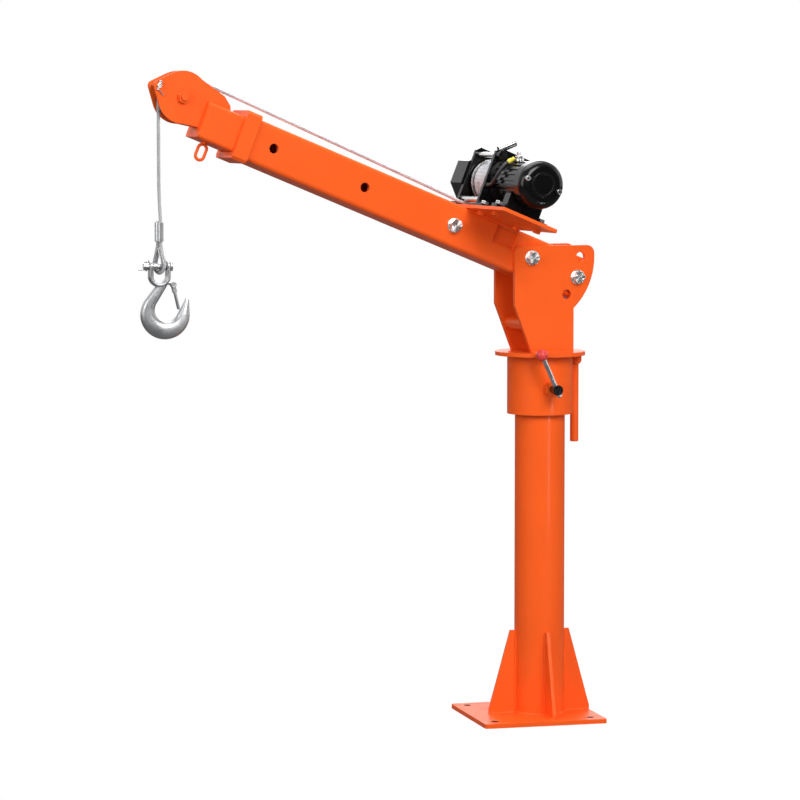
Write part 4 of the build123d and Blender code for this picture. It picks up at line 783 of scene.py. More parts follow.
def fork_body():
    """A U in the hook's plane, whose depth over each ear is the ear's circle about the pin."""
    bend = polar((0.0, FORK_BEND), FORK_MIDDLE, np.linspace(np.pi, 2 * np.pi, BEND_STEPS))
    top = PIN_HEIGHT + EAR_RADIUS * np.sin(np.linspace(np.pi / 2, 0, EAR_STEPS) * EAR_TRIM)
    limb = np.concatenate([top, np.linspace(PIN_HEIGHT, FORK_BEND, LIMB_STEPS)[1:-1]])
    left = np.stack([np.full(len(limb), -FORK_MIDDLE), limb], 1)
    path = np.concatenate([left, bend, left[::-1] * (-1, 1)])
    above = np.clip((path[:, 1] - PIN_HEIGHT) / EAR_RADIUS, 0, 1)
    depth = EAR_RADIUS * np.sqrt(1 - above**2)
    across, deep = oval(np.full(len(path), FORK_HALF), depth, FORK_SIDES, FORK_SQUARENESS)
    return carry(on_hook(stand(path, 0.0)), -Y_AXIS, MM * across, MM * deep)


fork_piece = surface("hook_fork", fork_body(), sharp=HOOK_SHARP)
print("hook fork", len(fork_piece.data.polygons), "faces")

# %% Latch lug
LATCH_AT = (23.5, -317.0)
LUG_HALF = 3.9
LUG_RADIUS = 5.0
LUG_STEPS = 9
LUG_SIDES = 28
LUG_EDGE = 0.2
LUG_EDGE_POWER = 8
WEB_HEIGHT = -314.8
WEB_REACH = 12.0
WEB_HALF = 2.8
WEB_STEPS = 10
WEB_SIDES = 20
WEB_SQUARENESS = 4.0

lug_share = np.linspace(-1, 1, LUG_STEPS)
lug_line = on_hook([(LATCH_AT[0], LUG_HALF * share, LATCH_AT[1]) for share in lug_share])
lug_radius = MM * LUG_RADIUS * np.sqrt(1 - lug_share**LUG_EDGE_POWER * LUG_EDGE)
lug_piece = tube("latch_lug", lug_line, UP, lug_radius, LUG_SIDES)
web_line = on_hook([
    (x, 0.0, WEB_HEIGHT) for x in np.linspace(LATCH_AT[0], LATCH_AT[0] - WEB_REACH, WEB_STEPS)
])
web_oval = oval(
    np.full(WEB_STEPS, MM * WEB_HALF), np.full(WEB_STEPS, MM * LUG_HALF), WEB_SIDES, WEB_SQUARENESS
)
web_piece = surface("latch_lug_web", carry(web_line, Y_AXIS, *web_oval))
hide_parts("hook")
hook_pieces = [hook_piece, fork_piece, lug_piece, web_piece]
for piece in hook_pieces:
    mount(piece, "hook")
print("hook pieces", len(hook_pieces))

# %% [markdown]
# ## Split pins
#
# Split pins stop the keeper pin and the clevis pin from sliding out. Such a pin is one half-round wire:
# a ring at the head, two legs through the hole, and the ends bent apart. Each is a thin tube on a
# spline, as the wire itself is bent.

# %% Split pins
WIRE_RADIUS = 0.95 * MM
WIRE_STEP = 0.6 * MM
WIRE_SIDES = 12
SHORT_LEG = [(-1.4, -8.1), (-0.9, -4.6)]
PIN_LOOP = [(-0.8, 3.6), (-2.1, 5.2), (-1.9, 7.4), (0.0, 8.4), (1.9, 7.4), (2.1, 5.2), (0.8, 3.6)]
LONG_LEG = [(0.0, -4.6)]
LEG_BEND = 1.2
LEG_DROP = 5.8


def split_pin(name, centre, up_way, leg_way, leg, body):
    """A short leg, a ring above the hole, and a long leg through the hole that is bent along leg_way."""
    side_way = unit(leg_way - (leg_way @ up_way) * up_way)
    ring = np.array(SHORT_LEG + PIN_LOOP + LONG_LEG) @ np.stack([side_way, up_way])
    bent = np.outer([LEG_BEND, leg / 2, leg], leg_way) - LEG_DROP * up_way
    line = spline_line(centre + MM * np.concatenate([ring, bent]), WIRE_STEP)
    wire = tube(name, line, np.cross(up_way, side_way), WIRE_RADIUS, WIRE_SIDES)
    return mount(wire, body)


KEEPER_AT = (740.5, 19.5, 25.0)
KEEPER_WAY = unit(-0.88 * ALONG - 0.50 * OFF_TOP)
KEEPER_LEG = 15.0
CLEVIS_AT = (-23.0, 0.0, PIN_HEIGHT)
CLEVIS_LEG = 13.0
keeper_split = split_pin(
    "keeper_split_pin", on_boom(KEEPER_AT), OFF_TOP, KEEPER_WAY, KEEPER_LEG, "extension"
)
clevis_split = split_pin("clevis_split_pin", on_hook(CLEVIS_AT), UP, -X_AXIS, CLEVIS_LEG, "hook")
print("split pins", keeper_split.name, clevis_split.name)

# %% [markdown]
# ## Threads
#
# The bolt tails and the terminal studs are threaded. The Screw modifier could turn a thread, but its ends
# would stay open and square. Here a thread is a cylinder whose radius follows a zigzag that climbs one
# pitch in each turn, so along the bolt and round it are its two parameters, and the tip can fade out.

# %% Thread
THREAD_SIDES = 36
THREAD_STEPS = 6
THREAD_SHARP = 30.0
THREAD_DEPTH = 0.3
THREAD_LEAD_IN = 0.8
THREAD_CUT = 0.35
STEEPEST = 0.9


def thread(name, ends, radius, pitch, body, slot="bright_steel"):
    """Radius r + d (|2 frac(s / pitch - t) - 1| - 1/2), with t the share of a turn and d = 0.3 pitch.

    Over the last 0.8 pitch the zigzag fades out and the radius shrinks by 0.35 d.
    """
    foot, tip = ends
    length = float(np.linalg.norm(tip - foot))
    s = np.linspace(0, length, max(THREAD_STEPS, int(length / (pitch * MM) * THREAD_STEPS)))
    t = np.linspace(0, 1, THREAD_SIDES, endpoint=False)
    zigzag = np.abs(2 * ((s[:, None] / (pitch * MM) - t) % 1) - 1) - 0.5
    ease = np.clip((length - s) / (THREAD_LEAD_IN * pitch * MM), 0, 1)[:, None]
    size = MM * (radius + THREAD_DEPTH * pitch * (zigzag * ease - THREAD_CUT * (1 - ease)))
    way = unit(tip - foot)
    reference = UP if abs(way @ UP) < STEEPEST else X_AXIS
    cosine, sine = circle(THREAD_SIDES)
    points = carry(foot + s[:, None] * way, reference, size * cosine, size * sine)
    return mount(surface(name, points, sharp=THREAD_SHARP), body)


def across(place, spot, reaches):
    """Points at several distances across from one flat spot, by the boom's axes or the head's."""
    return place([(spot[0], reach, spot[1]) for reach in reaches])


print("a thread has", THREAD_STEPS, "rows in each pitch and", THREAD_SIDES, "points round")

# %% Threads
PIVOT_SPOT = (38.0, 823.0)
LUFF_LOCK_SPOT = (-50.1, 787.4)
EXTENSION_LOCK_SPOT = (156.0, 0.0)
HEAD_TAIL = (-58.4, -62.6)
BOOM_TAIL = (-49.9, -54.1)
SHEAVE_TAIL = (24.4, 28.6)
STUD_HEIGHTS = (48.5, 55.7)
LOCK_SIZE = (8.0, 2.0)
SHEAVE_BOLT_SIZE = (6.0, 1.75)
STUD_SIZE = (3.5, 1.25)

threads = [
    thread("thread_pivot", across(on_head, PIVOT_SPOT, HEAD_TAIL), *LOCK_SIZE, "slew_head"),
    thread("thread_luff_lock", across(on_head, LUFF_LOCK_SPOT, HEAD_TAIL), *LOCK_SIZE, "slew_head"),
    thread("thread_extension_lock", across(on_boom, EXTENSION_LOCK_SPOT, BOOM_TAIL), *LOCK_SIZE, "boom"),
]
sheave_ends = across(on_boom, SHEAVE_AXIS, SHEAVE_TAIL)
sheave_thread = thread("thread_sheave_bolt", sheave_ends, *SHEAVE_BOLT_SIZE, "extension", "orange_paint")
for label, side in FRONT_AND_REAR:
    stud = [post_point(side, height) for height in STUD_HEIGHTS]
    threads.append(thread(f"thread_post_{label}", stud, *STUD_SIZE, "boom"))
print("threads", len(threads) + 1)

# %% [markdown]
# The two screws of the motor's cap have hexagon sockets. Cutting them would change the solid. Seen from
# outside a socket is a hexagon dark with shade, so each is a thin six-sided plug of dark steel in the
# screw's end, as painted shade in place of the recess, and the end is found from the solid itself.

# %% Sockets
SOCKET_RADIUS = 2.5 * MM
SOCKET_SIDES = 6
SOCKET_DEPTHS = (-1.0, 0.08)
CAP_SCREW_AT = 32.0

screw_places = places_in(NODES["motor_cap_screws"].data.vertices, "co")
screw_end = float(((screw_places - BOOM_ORIGIN) @ NEAR).max() / MM)
sockets = []
for label, side in FRONT_AND_REAR:
    spot = (DRUM_AXIS[0] + side * CAP_SCREW_AT, DRUM_AXIS[1])
    plug = across(on_boom, spot, [screw_end + depth for depth in SOCKET_DEPTHS])
    piece = tube(f"cap_screw_socket_shade_{label}", plug, UP, SOCKET_RADIUS, SOCKET_SIDES)
    sockets.append(mount(piece, "boom"))
print("cap screws end", round(screw_end, 1), "mm from the pivot")

# %% [markdown]
# ## Node helpers
#
# A finish is a tree of nodes, and most of its lines only join one node to the next. One helper does all
# of that: what goes into a socket is either another node's socket, which is linked, or a plain value,
# which is set.

# %% Joining nodes
def feed(tree, socket, source):
    """A socket is linked to another node's socket, or set to a value."""
    if isinstance(source, bpy.types.NodeSocket):
        tree.links.new(source, socket)
    else:
        socket.default_value = source


def supply(tree, node, *sources, **values):
    """Sources go to a node's first sockets; names with a capital are sockets, others are settings."""
    fed = dict(enumerate(sources))
    for label, value in values.items():
        if label[0].isupper():
            fed[label.replace("_", " ")] = value
        else:
            setattr(node, label, value)
    for label, source in fed.items():
        feed(tree, node.inputs[label], source)
    return node


def add(tree, kind, *sources, **values):
    """A new shader node of a kind, supplied; what comes back is its outputs."""
    return supply(tree, tree.nodes.new("ShaderNode" + kind), *sources, **values).outputs


def use(tree, effect, **values):
    """A node group placed in a tree; what comes back is its outputs."""
    return add(tree, "Group", node_tree=effect, **values)


print("helpers that join nodes:", feed.__name__, supply.__name__, add.__name__, use.__name__)

# %% Sums, ramps and mixes
MIX_SOCKETS = {"FLOAT": (2, 3, 0), "RGBA": (6, 7, 2)}


def maths(tree, operation, *sources):
    """One sum on numbers."""
    return add(tree, "Math", *sources, operation=operation)["Value"]


def ramp(tree, value, low, high, bottom=0.0, top=1.0, kind="SMOOTHSTEP"):
    """A value mapped from low and high to bottom and top, on an S-curve or LINEAR."""
    return add(tree, "MapRange", value, low, high, bottom, top, interpolation_type=kind)["Result"]


def mix(tree, share, first, second, kind="RGBA"):
    """A colour, or with FLOAT a number, that goes from the first to the second with the share."""
    node = supply(tree, tree.nodes.new("ShaderNodeMix"), share, data_type=kind)
    first_place, second_place, result = MIX_SOCKETS[kind]
    feed(tree, node.inputs[first_place], first)
    feed(tree, node.inputs[second_place], second)
    return node.outputs[result]


print("kinds of mix:", list(MIX_SOCKETS))

# %% [markdown]
# ## Shared finish effects
#
# Most surfaces here need the same effects: a softened edge where paint is thinner or metal is rubbed, a
# slow drift of the colour, uneven gloss, and a fine grain. Each is a node group, built once and placed
# in every finish with its own values. The shader itself stays in each finish.

# %% Groups and noise
NOISE_LOW = 0.3
NOISE_HIGH = 0.7


def new_group(name, inputs, **outputs):
    """An empty node group with inputs by value and outputs by type, and its two end nodes."""
    tree = bpy.data.node_groups.new(name, "ShaderNodeTree")
    for label, value in inputs.items():
        kind = "NodeSocketFloat" if isinstance(value, float) else "NodeSocketColor"
        tree.interface.new_socket(label, in_out="INPUT", socket_type=kind).default_value = value
    for label, kind in outputs.items():
        tree.interface.new_socket(label, in_out="OUTPUT", socket_type="NodeSocket" + kind)
    return tree, tree.nodes.new("NodeGroupInput").outputs, tree.nodes.new("NodeGroupOutput")


def noise(tree, scale, detail):
    """A noise texture on Object coordinates."""
    where = add(tree, "TexCoord")["Object"]
    return add(tree, "TexNoise", Vector=where, Scale=scale, Detail=detail)["Fac"]


def uneven(tree, scale, detail, low, high):
    """Noise whose usual values, 0.3 to 0.7, are stretched over a range."""
    return ramp(tree, noise(tree, scale, detail), NOISE_LOW, NOISE_HIGH, low, high, "LINEAR")


print("noise is used from", NOISE_LOW, "to", NOISE_HIGH)

# %% Shared effects
EDGE_SAMPLES = 6
FLAT_COSINE = 0.99
EDGE_COSINE = 0.86
FAINTEST_PATCH = 0.25

edge_group, given, result = new_group(
    "edge_wear", {"Width": 0.0015, "Patch Scale": 60.0}, Edge="Float", Normal="Vector"
)
rounded = add(edge_group, "Bevel", samples=EDGE_SAMPLES, Radius=given["Width"])["Normal"]
plain = add(edge_group, "NewGeometry")["Normal"]
facing = add(edge_group, "VectorMath", rounded, plain, operation="DOT_PRODUCT")["Value"]
turned_away = ramp(edge_group, facing, FLAT_COSINE, EDGE_COSINE, kind="LINEAR")
patches = uneven(edge_group, given["Patch Scale"], detail=3.0, low=FAINTEST_PATCH, high=1.0)
supply(edge_group, result, Edge=maths(edge_group, "MULTIPLY", turned_away, patches), Normal=rounded)

drift_group, given, result = new_group(
    "colour_drift", {"Colour": (1, 1, 1, 1), "Darkest": 0.9, "Lightest": 1.05, "Scale": 9.0},
    Colour="Color",
)
lightness = uneven(drift_group, given["Scale"], detail=4.0, low=given["Darkest"], high=given["Lightest"])
drifting = add(drift_group, "VectorMath", given["Colour"], operation="SCALE", Scale=lightness)["Vector"]
supply(drift_group, result, Colour=drifting)

gloss_group, given, result = new_group(
    "uneven_gloss", {"Smoothest": 0.25, "Roughest": 0.4, "Scale": 40.0}, Roughness="Float"
)
roughness = uneven(gloss_group, given["Scale"], detail=5.0, low=given["Smoothest"], high=given["Roughest"])
supply(gloss_group, result, Roughness=roughness)

grain_group, given, result = new_group("surface_grain", {"Scale": 300.0}, Height="Float")
supply(grain_group, result, Height=noise(grain_group, given["Scale"], detail=2.0))
print("shared effects:", [tree.name for tree in bpy.data.node_groups])

# %% [markdown]
# ## Finishes
#
# The frame is powder coated, a thick orange coat with a faint peel and soft edges. The winch is glossy
# black paint, the bolts are bright zinc, the rope and the hook are galvanised, and the clamp's ball is
# red plastic. One function puts the shared effects round a shader, and each finish is a short list of
# values for it.

# %% One solid finish
COAT_ROUGHNESS = 0.12


def new_material(name):
    """A node material, its tree and its shader."""
    material = bpy.data.materials.new(name)
    material.use_nodes = True
    return material, material.node_tree, material.node_tree.nodes["Principled BSDF"]


def finish(
    name, colour, rubbed, gloss, drift,
    metallic=0.0, grain=300.0, depth=0.0001, coat=0.0, edge=0.0012, shine=0.5,
):
    """A drifting colour that turns to the rubbed one at edges, with uneven gloss, grain and soft edges."""
    material, tree, shader = new_material(name)
    edges = use(tree, edge_group, Width=edge)
    tint = use(tree, drift_group, Colour=(*colour, 1), Darkest=drift[0], Lightest=drift[1])
    sheen = use(tree, gloss_group, Smoothest=gloss[0], Roughest=gloss[1])
    peel = use(tree, grain_group, Scale=grain)
    bump = add(tree, "Bump", Strength=1.0, Distance=depth, Height=peel["Height"], Normal=edges["Normal"])
    supply(
        tree, shader, Base_Color=mix(tree, edges["Edge"], tint["Colour"], (*rubbed, 1)),
        Roughness=sheen["Roughness"], Normal=bump["Normal"], Metallic=metallic, Coat_Weight=coat,
        Coat_Roughness=COAT_ROUGHNESS, Specular_IOR_Level=shine,
    )
    return material


print("each finish shares", len(bpy.data.node_groups), "effects")

# %% Finishes of the frame and winch
orange_paint = finish(
    "orange_powder_coat", (0.95, 0.118, 0.014), rubbed=(0.96, 0.17, 0.035),
    gloss=(0.32, 0.44), drift=(0.95, 1.02), grain=420.0, depth=0.00022, coat=0.12, shine=0.1,
)
winch_black = finish(
    "winch_black_paint", (0.003, 0.003, 0.0035), rubbed=(0.03, 0.03, 0.031),
    gloss=(0.10, 0.20), drift=(0.8, 1.3), grain=380.0, coat=0.08, shine=0.24,
)
bright_zinc = finish(
    "bright_zinc", (0.80, 0.80, 0.79), rubbed=(0.90, 0.90, 0.89),
    gloss=(0.16, 0.34), drift=(0.86, 1.06), metallic=1.0, grain=700.0, depth=0.00004, edge=0.0008,
)
bare_steel = finish(
    "bare_steel", (0.52, 0.52, 0.53), rubbed=(0.75, 0.75, 0.75),
    gloss=(0.28, 0.46), drift=(0.82, 1.1), metallic=1.0, grain=600.0, depth=0.00005,
)
# Dark steel used as painted shade: on the sheave, in the cap screws' sockets and in the holes of the base
# plate.
shade_dark_steel = finish(
    "dark_steel_painted_shade", (0.035, 0.035, 0.038), rubbed=(0.30, 0.30, 0.30),
    gloss=(0.26, 0.42), drift=(0.8, 1.25), metallic=0.6, grain=600.0, depth=0.00005,
)
bronze = finish(
    "bearing_bronze", (0.62, 0.40, 0.20), rubbed=(0.80, 0.58, 0.32),
    gloss=(0.25, 0.42), drift=(0.85, 1.08), metallic=1.0, grain=600.0, depth=0.00004,
)
print("finishes so far:", len(bpy.data.materials))

# %% Finishes of the hook, levers and leads
hook_steel = finish(
    "galvanised_forging", (0.47, 0.475, 0.485), rubbed=(0.64, 0.64, 0.64),
    gloss=(0.29, 0.46), drift=(0.66, 1.18), metallic=1.0, grain=170.0, depth=0.00022, edge=0.0018,
)
ferrule_metal = finish(
    "pressed_ferrule", (0.56, 0.565, 0.575), rubbed=(0.75, 0.75, 0.75),
    gloss=(0.24, 0.38), drift=(0.85, 1.08), metallic=1.0, grain=420.0,
)
red_ball = finish(
    "red_ball_plastic", (0.72, 0.045, 0.040), rubbed=(0.78, 0.07, 0.06),
    gloss=(0.24, 0.34), drift=(0.94, 1.04), depth=0.00003, coat=0.1,
)
chrome = finish(
    "lever_chrome", (0.55, 0.55, 0.56), rubbed=(0.70, 0.70, 0.70),
    gloss=(0.12, 0.18), drift=(0.9, 1.05), metallic=1.0, grain=500.0, depth=0.000004, edge=0.0006,
)
lead_black = finish(
    "lead_rubber", (0.016, 0.016, 0.016), rubbed=(0.03, 0.03, 0.03),
    gloss=(0.42, 0.58), drift=(0.8, 1.25), grain=900.0, depth=0.00006,
)
boot_yellow = finish(
    "boot_yellow", (0.72, 0.60, 0.05), rubbed=(0.82, 0.70, 0.12),
    gloss=(0.38, 0.5), drift=(0.9, 1.06), grain=700.0, depth=0.00006,
)
boot_white = finish(
    "boot_white", (0.78, 0.78, 0.76), rubbed=(0.85, 0.85, 0.84),
    gloss=(0.38, 0.5), drift=(0.9, 1.04), grain=700.0, depth=0.00006,
)
print("solid finishes:", len(bpy.data.materials))

# %% [markdown]
# The bolt heads on the near side were turned on a lathe, so fine marks run round them and stretch each
# reflection to a bright ray. The shader does that when its tangent goes round the bolt's axis.

# %% Turned heads
TURNED_STRETCH = 0.85
TURNED_HEADS = {
    "pivot_bolt": across(on_head, PIVOT_SPOT, [0.0])[0],
    "luff_lock_bolt": across(on_head, LUFF_LOCK_SPOT, [0.0])[0],
    "extension_lock_bolt": across(on_boom, EXTENSION_LOCK_SPOT, [0.0])[0],
}


def turned_zinc(name, centre):
    """Bright zinc whose tangent is the arm from the bolt's axis crossed with the axis."""
    material = finish(
        name, (0.93, 0.93, 0.92), rubbed=(0.96, 0.96, 0.95),
        gloss=(0.23, 0.30), drift=(0.9, 1.05), metallic=1.0, grain=500.0, depth=0.00001, edge=0.0008,
    )
    tree = material.node_tree
    arm = add(tree, "VectorMath", add(tree, "TexCoord")["Object"], centre, operation="SUBTRACT")["Vector"]
    around = add(tree, "VectorMath", arm, NEAR, operation="CROSS_PRODUCT")["Vector"]
    supply(tree, tree.nodes["Principled BSDF"], Anisotropic=TURNED_STRETCH, Tangent=around)
    return material


turned = {node: turned_zinc(f"turned_zinc_{node}", centre) for node, centre in TURNED_HEADS.items()}
print("turned heads:", list(turned))

# %% [markdown]
# ## Rope finish
#
# Each point of the rope knows how far out it lies, and the colour follows that: the crowns of the strands
# are painted lighter, as a painted highlight, and the valleys between them darker, as painted shade. The
# fine wires inside a strand run across the rope's lay, and a wave on the rope's own map, along and round,
# shows them. The turns on the drum and the run beside the boom take a copy of the finish painted
# brighter, to make up for the shade of the winch frames and the orange light the boom throws on them,
# while the hanging end keeps the greyer one.

# %% Rope finish
VALLEY_SHARE = 0.6
CROWN_SHARE = 0.97
WIRE_SCALE = (260.0, 12.0, 1.0)
WIRE_BUMP = 0.5
WIRE_DEPTH = 0.0002
ROPE_METALLIC = 0.2


def rope_finish(name, valley, crest):
    """Galvanised wire: painted shade in the valleys, a painted highlight on the crowns, and a diagonal
    wave of wires as bump.
    """
    material, tree, shader = new_material(name)
    crown = add(tree, "Attribute", attribute_name="crown")["Fac"]
    tint = use(tree, drift_group, Colour=(*crest, 1), Darkest=0.85, Lightest=1.1, Scale=60.0)
    sheen = use(tree, gloss_group, Smoothest=0.3, Roughest=0.5, Scale=120.0)
    # Painted shade in the valleys and a painted highlight on the crowns.
    share = ramp(tree, crown, VALLEY_SHARE, CROWN_SHARE, kind="LINEAR")
    lean = add(tree, "Mapping", Vector=add(tree, "UVMap", uv_map="run")["UV"], Scale=WIRE_SCALE)
    wires = add(tree, "TexWave", bands_direction="DIAGONAL", Vector=lean["Vector"], Scale=1.0)
    bump = add(tree, "Bump", Strength=WIRE_BUMP, Distance=WIRE_DEPTH, Height=wires["Fac"])
    supply(
        tree, shader, Base_Color=mix(tree, share, (*valley, 1), tint["Colour"]),
        Roughness=sheen["Roughness"], Normal=bump["Normal"], Metallic=ROPE_METALLIC,
    )
    return material


rope_steel = rope_finish("galvanised_rope", (0.13, 0.13, 0.13), (0.60, 0.60, 0.61))
# A copy of the rope's finish painted brighter, as painted light, for the drum's turns and the run.
rope_painted_brighter = rope_finish("galvanised_rope_painted_brighter", (0.26, 0.26, 0.26), (0.70, 0.74, 0.78))
print("rope finishes:", rope_steel.name, rope_painted_brighter.name)

# %% [markdown]
# ## Which finish goes where
#
# The painted weldment is one colour, the winch another, and the parts that move against each other are
# bare. The table names each solid once, and a solid that is left out stops the script.

# %% Table of finishes
DRESS = {
    orange_paint: (
        "base_plate base_gussets mast_tube slew_sleeve head_flange head_plate_near head_plate_far "
        "head_spacer clamp_boss handle_hinge slew_handle boom_tube root_liner boom_collar winch_plate "
        "extension_tube extension_end_plate sheave_cheek_near sheave_cheek_far stow_ring sheave_bolt "
        "sheave_nut tail_bush"
    ),
    winch_black: (
        "winch_frame_near winch_frame_far motor_case motor_end_cap motor_foot gear_housing gear_cover "
        "clamp_screw"
    ),
    bright_zinc: "pivot_nut winch_bolts motor_cap_screws terminal_posts keeper_pin tie_bars drum",
    bare_steel: "pivot_bush hook_pins",
    chrome: "clamp_lever clutch_lever",
    # The sheave is dark steel as painted shade between its cheeks.
    shade_dark_steel: "sheave",
    bronze: "slew_bush_lower slew_bush_upper thrust_washer",
    hook_steel: "hook hook_latch",
    ferrule_metal: "rope_ferrule thimble",
    red_ball: "clamp_ball",
    rope_steel: "rope_winding rope_run rope_over_sheave rope_fall rope_eye",
    lead_black: "motor_leads",
}
dressed = {node: material for material, names in DRESS.items() for node in names.split()}
dressed.update(turned)
if set(dressed) != set(NODES):
    raise ValueError(f"finishes are missing or spare for {sorted(set(dressed) ^ set(NODES))}")
print("solids with a finish:", len(dressed))

# %% Dressing solids and pieces
def dress(material, *pieces):
    """Pieces take one material on all their faces."""
    for piece in pieces:
        piece.data.materials.clear()
        piece.data.materials.append(material)


for node, material in dressed.items():
    dress(material, NODES[node])
dress(rope_steel, *ropes.values())
# The drum's turns and the run take the copy painted brighter, as painted light.
dress(rope_painted_brighter, ropes["rope_winding"], ropes["rope_run"])
dress(orange_paint, *beads, sheave_thread)
dress(hook_steel, *hook_pieces, clevis_split)
dress(bare_steel, keeper_split)
dress(bright_zinc, *threads, *terminals)
# The socket plugs are painted shade.
dress(shade_dark_steel, *sockets)
dress(lead_black, *leads)
dress(boot_yellow, boots[0])
dress(boot_white, boots[1])
print("rope stretches with a finish:", [piece.data.materials[0].name for piece in ropes.values()])

# %% [markdown]
# Three solids carry two finishes. The nuts under the winch deck were painted with the boom, the clutch
# lever has a black hub and a bright grip, and the walls of the holes in the base plate are dark steel as
# painted shade. The faces are told apart by where their middles lie, so no solid has to be split.

# %% Two finishes on one solid
DECK_UNDERSIDE = 39.0
CLUTCH_AXIS = np.array([125.0, 143.5])
CLUTCH_HUB_RADIUS = 9.0
BASE_HOLE_AT = 88.0
BASE_HOLE_RADIUS = 7.2


def face_middles(node):
    """The middle of each face of a solid."""
    return places_in(NODES[node].data.polygons, "center")


def boom_places(node):
    """The faces' middles in the boom's own millimetres."""
    return (face_middles(node) - BOOM_ORIGIN) @ BOOM_AXES.T / MM


def dress_two(node, first, second, chosen):
    """The chosen faces take the second material and the others the first."""
    dress(first, NODES[node])
    NODES[node].data.materials.append(second)
    NODES[node].data.polygons.foreach_set("material_index", chosen.astype(np.int32))
    print(node, "has", int(chosen.sum()), "faces of", second.name)


dress_two("winch_bolts", bright_zinc, orange_paint, boom_places("winch_bolts")[:, 2] < DECK_UNDERSIDE)
hub_reach = np.hypot(*(boom_places("clutch_lever")[:, [0, 2]] - CLUTCH_AXIS).T)
dress_two("clutch_lever", chrome, winch_black, hub_reach < CLUTCH_HUB_RADIUS)
hole_reach = np.hypot(*(np.abs(face_middles("base_plate"))[:, :2] / MM - BASE_HOLE_AT).T)
# The hole walls of the base plate take dark steel as painted shade.
dress_two("base_plate", orange_paint, shade_dark_steel, hole_reach < BASE_HOLE_RADIUS)

# %% [markdown]
# ## Floor
#
# The picture is a studio shot on white. A broad floor takes the shadow near the crane, and further away
# it goes over to plain white for the camera. To all other rays it is a dull grey, so that it throws
# little light upwards.

# %% Floor
FLOOR_SIZE = 30.0
FLOOR_COLUMNS = 24
FLOOR_WHITE = (0.95, 0.95, 0.95, 1)
FLOOR_BOUNCE = (0.16, 0.16, 0.16, 1)
FLOOR_SHINE = 0.1
FLOOR_SHADOW_NEAR = 0.15
FLOOR_SHADOW_FAR = 0.9


def floor_finish():
    """A pale matt floor that takes the crane's shadow and goes over to plain white further away."""
    material, tree, shader = new_material("studio_floor")
    seen = add(tree, "LightPath")["Is Camera Ray"]
    tint = use(tree, drift_group, Colour=FLOOR_WHITE, Darkest=0.99, Lightest=1.01, Scale=2.0)
    sheen = use(tree, gloss_group, Smoothest=0.7, Roughest=0.8, Scale=4.0)
    supply(
        tree, shader, Base_Color=mix(tree, seen, FLOOR_BOUNCE, tint["Colour"]),
        Roughness=sheen["Roughness"], Specular_IOR_Level=FLOOR_SHINE,
    )
    reach = add(tree, "VectorMath", add(tree, "TexCoord")["Object"], operation="LENGTH")["Value"]
    away = ramp(tree, reach, FLOOR_SHADOW_NEAR, FLOOR_SHADOW_FAR)
    white = add(tree, "Emission")["Emission"]
    both = add(tree, "MixShader", maths(tree, "MULTIPLY", away, seen), shader.outputs["BSDF"], white)
    supply(tree, tree.nodes["Material Output"], Surface=both["Shader"])
    return material


steps = np.linspace(-FLOOR_SIZE / 2, FLOOR_SIZE / 2, FLOOR_COLUMNS)
floor_grid = np.stack(np.meshgrid(steps, steps, [0.0], indexing="ij"), -1)[:, :, 0]
floor = surface("studio_floor", floor_grid[:, ::-1], ring=False, caps=False)
dress(floor_finish(), floor)
print("floor", FLOOR_SIZE, "m wide")

# %% [markdown]
# ## Lamps
#
# Soft lamps do the lighting: a key from the front, a weaker one from each side and from behind, and one
# overhead, which draws the bright lines along the upper edges. A narrow strip beside the mast draws one
# line of light down its upper part.

# %% Lamps
def lamp(name, place, target, width, height, power):
    """A soft lamp that looks at a point and is never seen by the camera itself."""
    data = bpy.data.lights.new(name, "AREA")
    data.shape = "RECTANGLE"
    data.size = width
    data.size_y = height
    data.energy = power
    lamp_object = bpy.data.objects.new(name, data)
    lamp_object.visible_camera = False
    lamp_object.location = place
    look = np.subtract(target, place)
    lamp_object.rotation_euler = (
        math.atan2(math.hypot(look[0], look[1]), -look[2]), 0, math.atan2(-look[0], look[1])
    )
    bpy.context.scene.collection.objects.link(lamp_object)


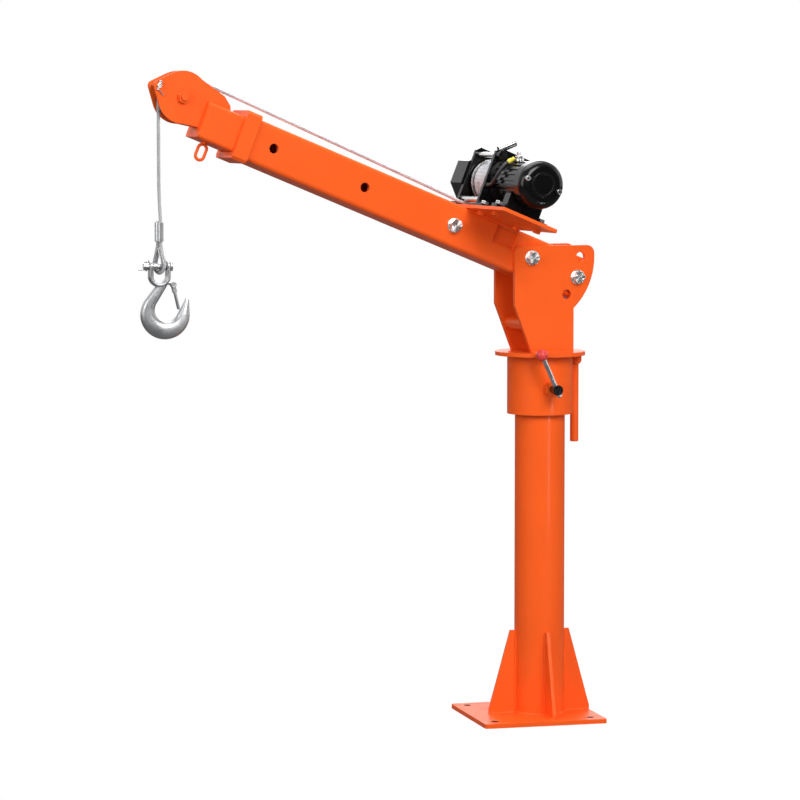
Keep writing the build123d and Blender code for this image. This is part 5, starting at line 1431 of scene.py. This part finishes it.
SUBJECT = (-0.2, 0.0, 0.7)
MAST_MIDDLE = (0.0, 0.0, 0.35)
lamp("key_lamp", (0.4, -3.9, 2.7), SUBJECT, width=2.0, height=2.0, power=139.0)
lamp("left_lamp", (-3.3, -2.0, 1.8), SUBJECT, width=2.2, height=2.2, power=60.0)
lamp("right_lamp", (3.3, -0.9, 1.6), SUBJECT, width=2.2, height=2.2, power=14.0)
lamp("top_lamp", (-0.4, 0.35, 3.3), SUBJECT, width=2.4, height=2.4, power=82.0)
lamp("back_lamp", (0.9, 3.3, 2.4), SUBJECT, width=2.4, height=2.4, power=48.0)
lamp("strip_lamp", (0.55, -1.12, 0.35), MAST_MIDDLE, width=0.07, height=0.28, power=1.5)
print("lamps", len(bpy.data.lights))

# %% [markdown]
# ## The white room
#
# The background is white to the camera. Gloss sees a white backdrop that curves round to the sides, a
# dark room in front and a grey ceiling, as metal in a studio does. The light that falls on the paint
# from all round is weaker than either, so the colours stay as they are written.

# %% World
AMBIENT = 0.13
ROOM_GREY = 0.10
ZENITH_GREY = 0.5
BACKDROP_WAY = (-math.sin(CAMERA_AZIMUTH), math.cos(CAMERA_AZIMUTH), 0.0)
BACKDROP_ENDS = (-0.5, 0.15)
CEILING_ENDS = (0.25, 0.85)


def reflected_studio(tree):
    """What gloss sees by direction: the brighter one of the backdrop's ramp and the ceiling's."""
    where = add(tree, "TexCoord")["Generated"]
    towards = add(tree, "VectorMath", where, BACKDROP_WAY, operation="DOT_PRODUCT")["Value"]
    backdrop = ramp(tree, towards, *BACKDROP_ENDS, ROOM_GREY, 1.0)
    ceiling = ramp(tree, add(tree, "SeparateXYZ", where)["Z"], *CEILING_ENDS, 0.0, ZENITH_GREY)
    return maths(tree, "MAXIMUM", backdrop, ceiling)


world = bpy.data.worlds.new("studio")
bpy.context.scene.world = world
world.use_nodes = True
sky = world.node_tree
rays = add(sky, "LightPath")
seen = rays["Is Camera Ray"]
mirrored = maths(sky, "MAXIMUM", rays["Is Glossy Ray"], rays["Is Transmission Ray"])
seen_or_mirrored = maths(sky, "MAXIMUM", seen, mirrored)
lit = mix(sky, seen_or_mirrored, AMBIENT, reflected_studio(sky), "FLOAT")
supply(sky, sky.nodes["Background"], Color=(1, 1, 1, 1), Strength=mix(sky, seen, lit, 1.0, "FLOAT"))
bpy.context.scene.view_settings.view_transform = "Standard"
print("light from all round", AMBIENT)
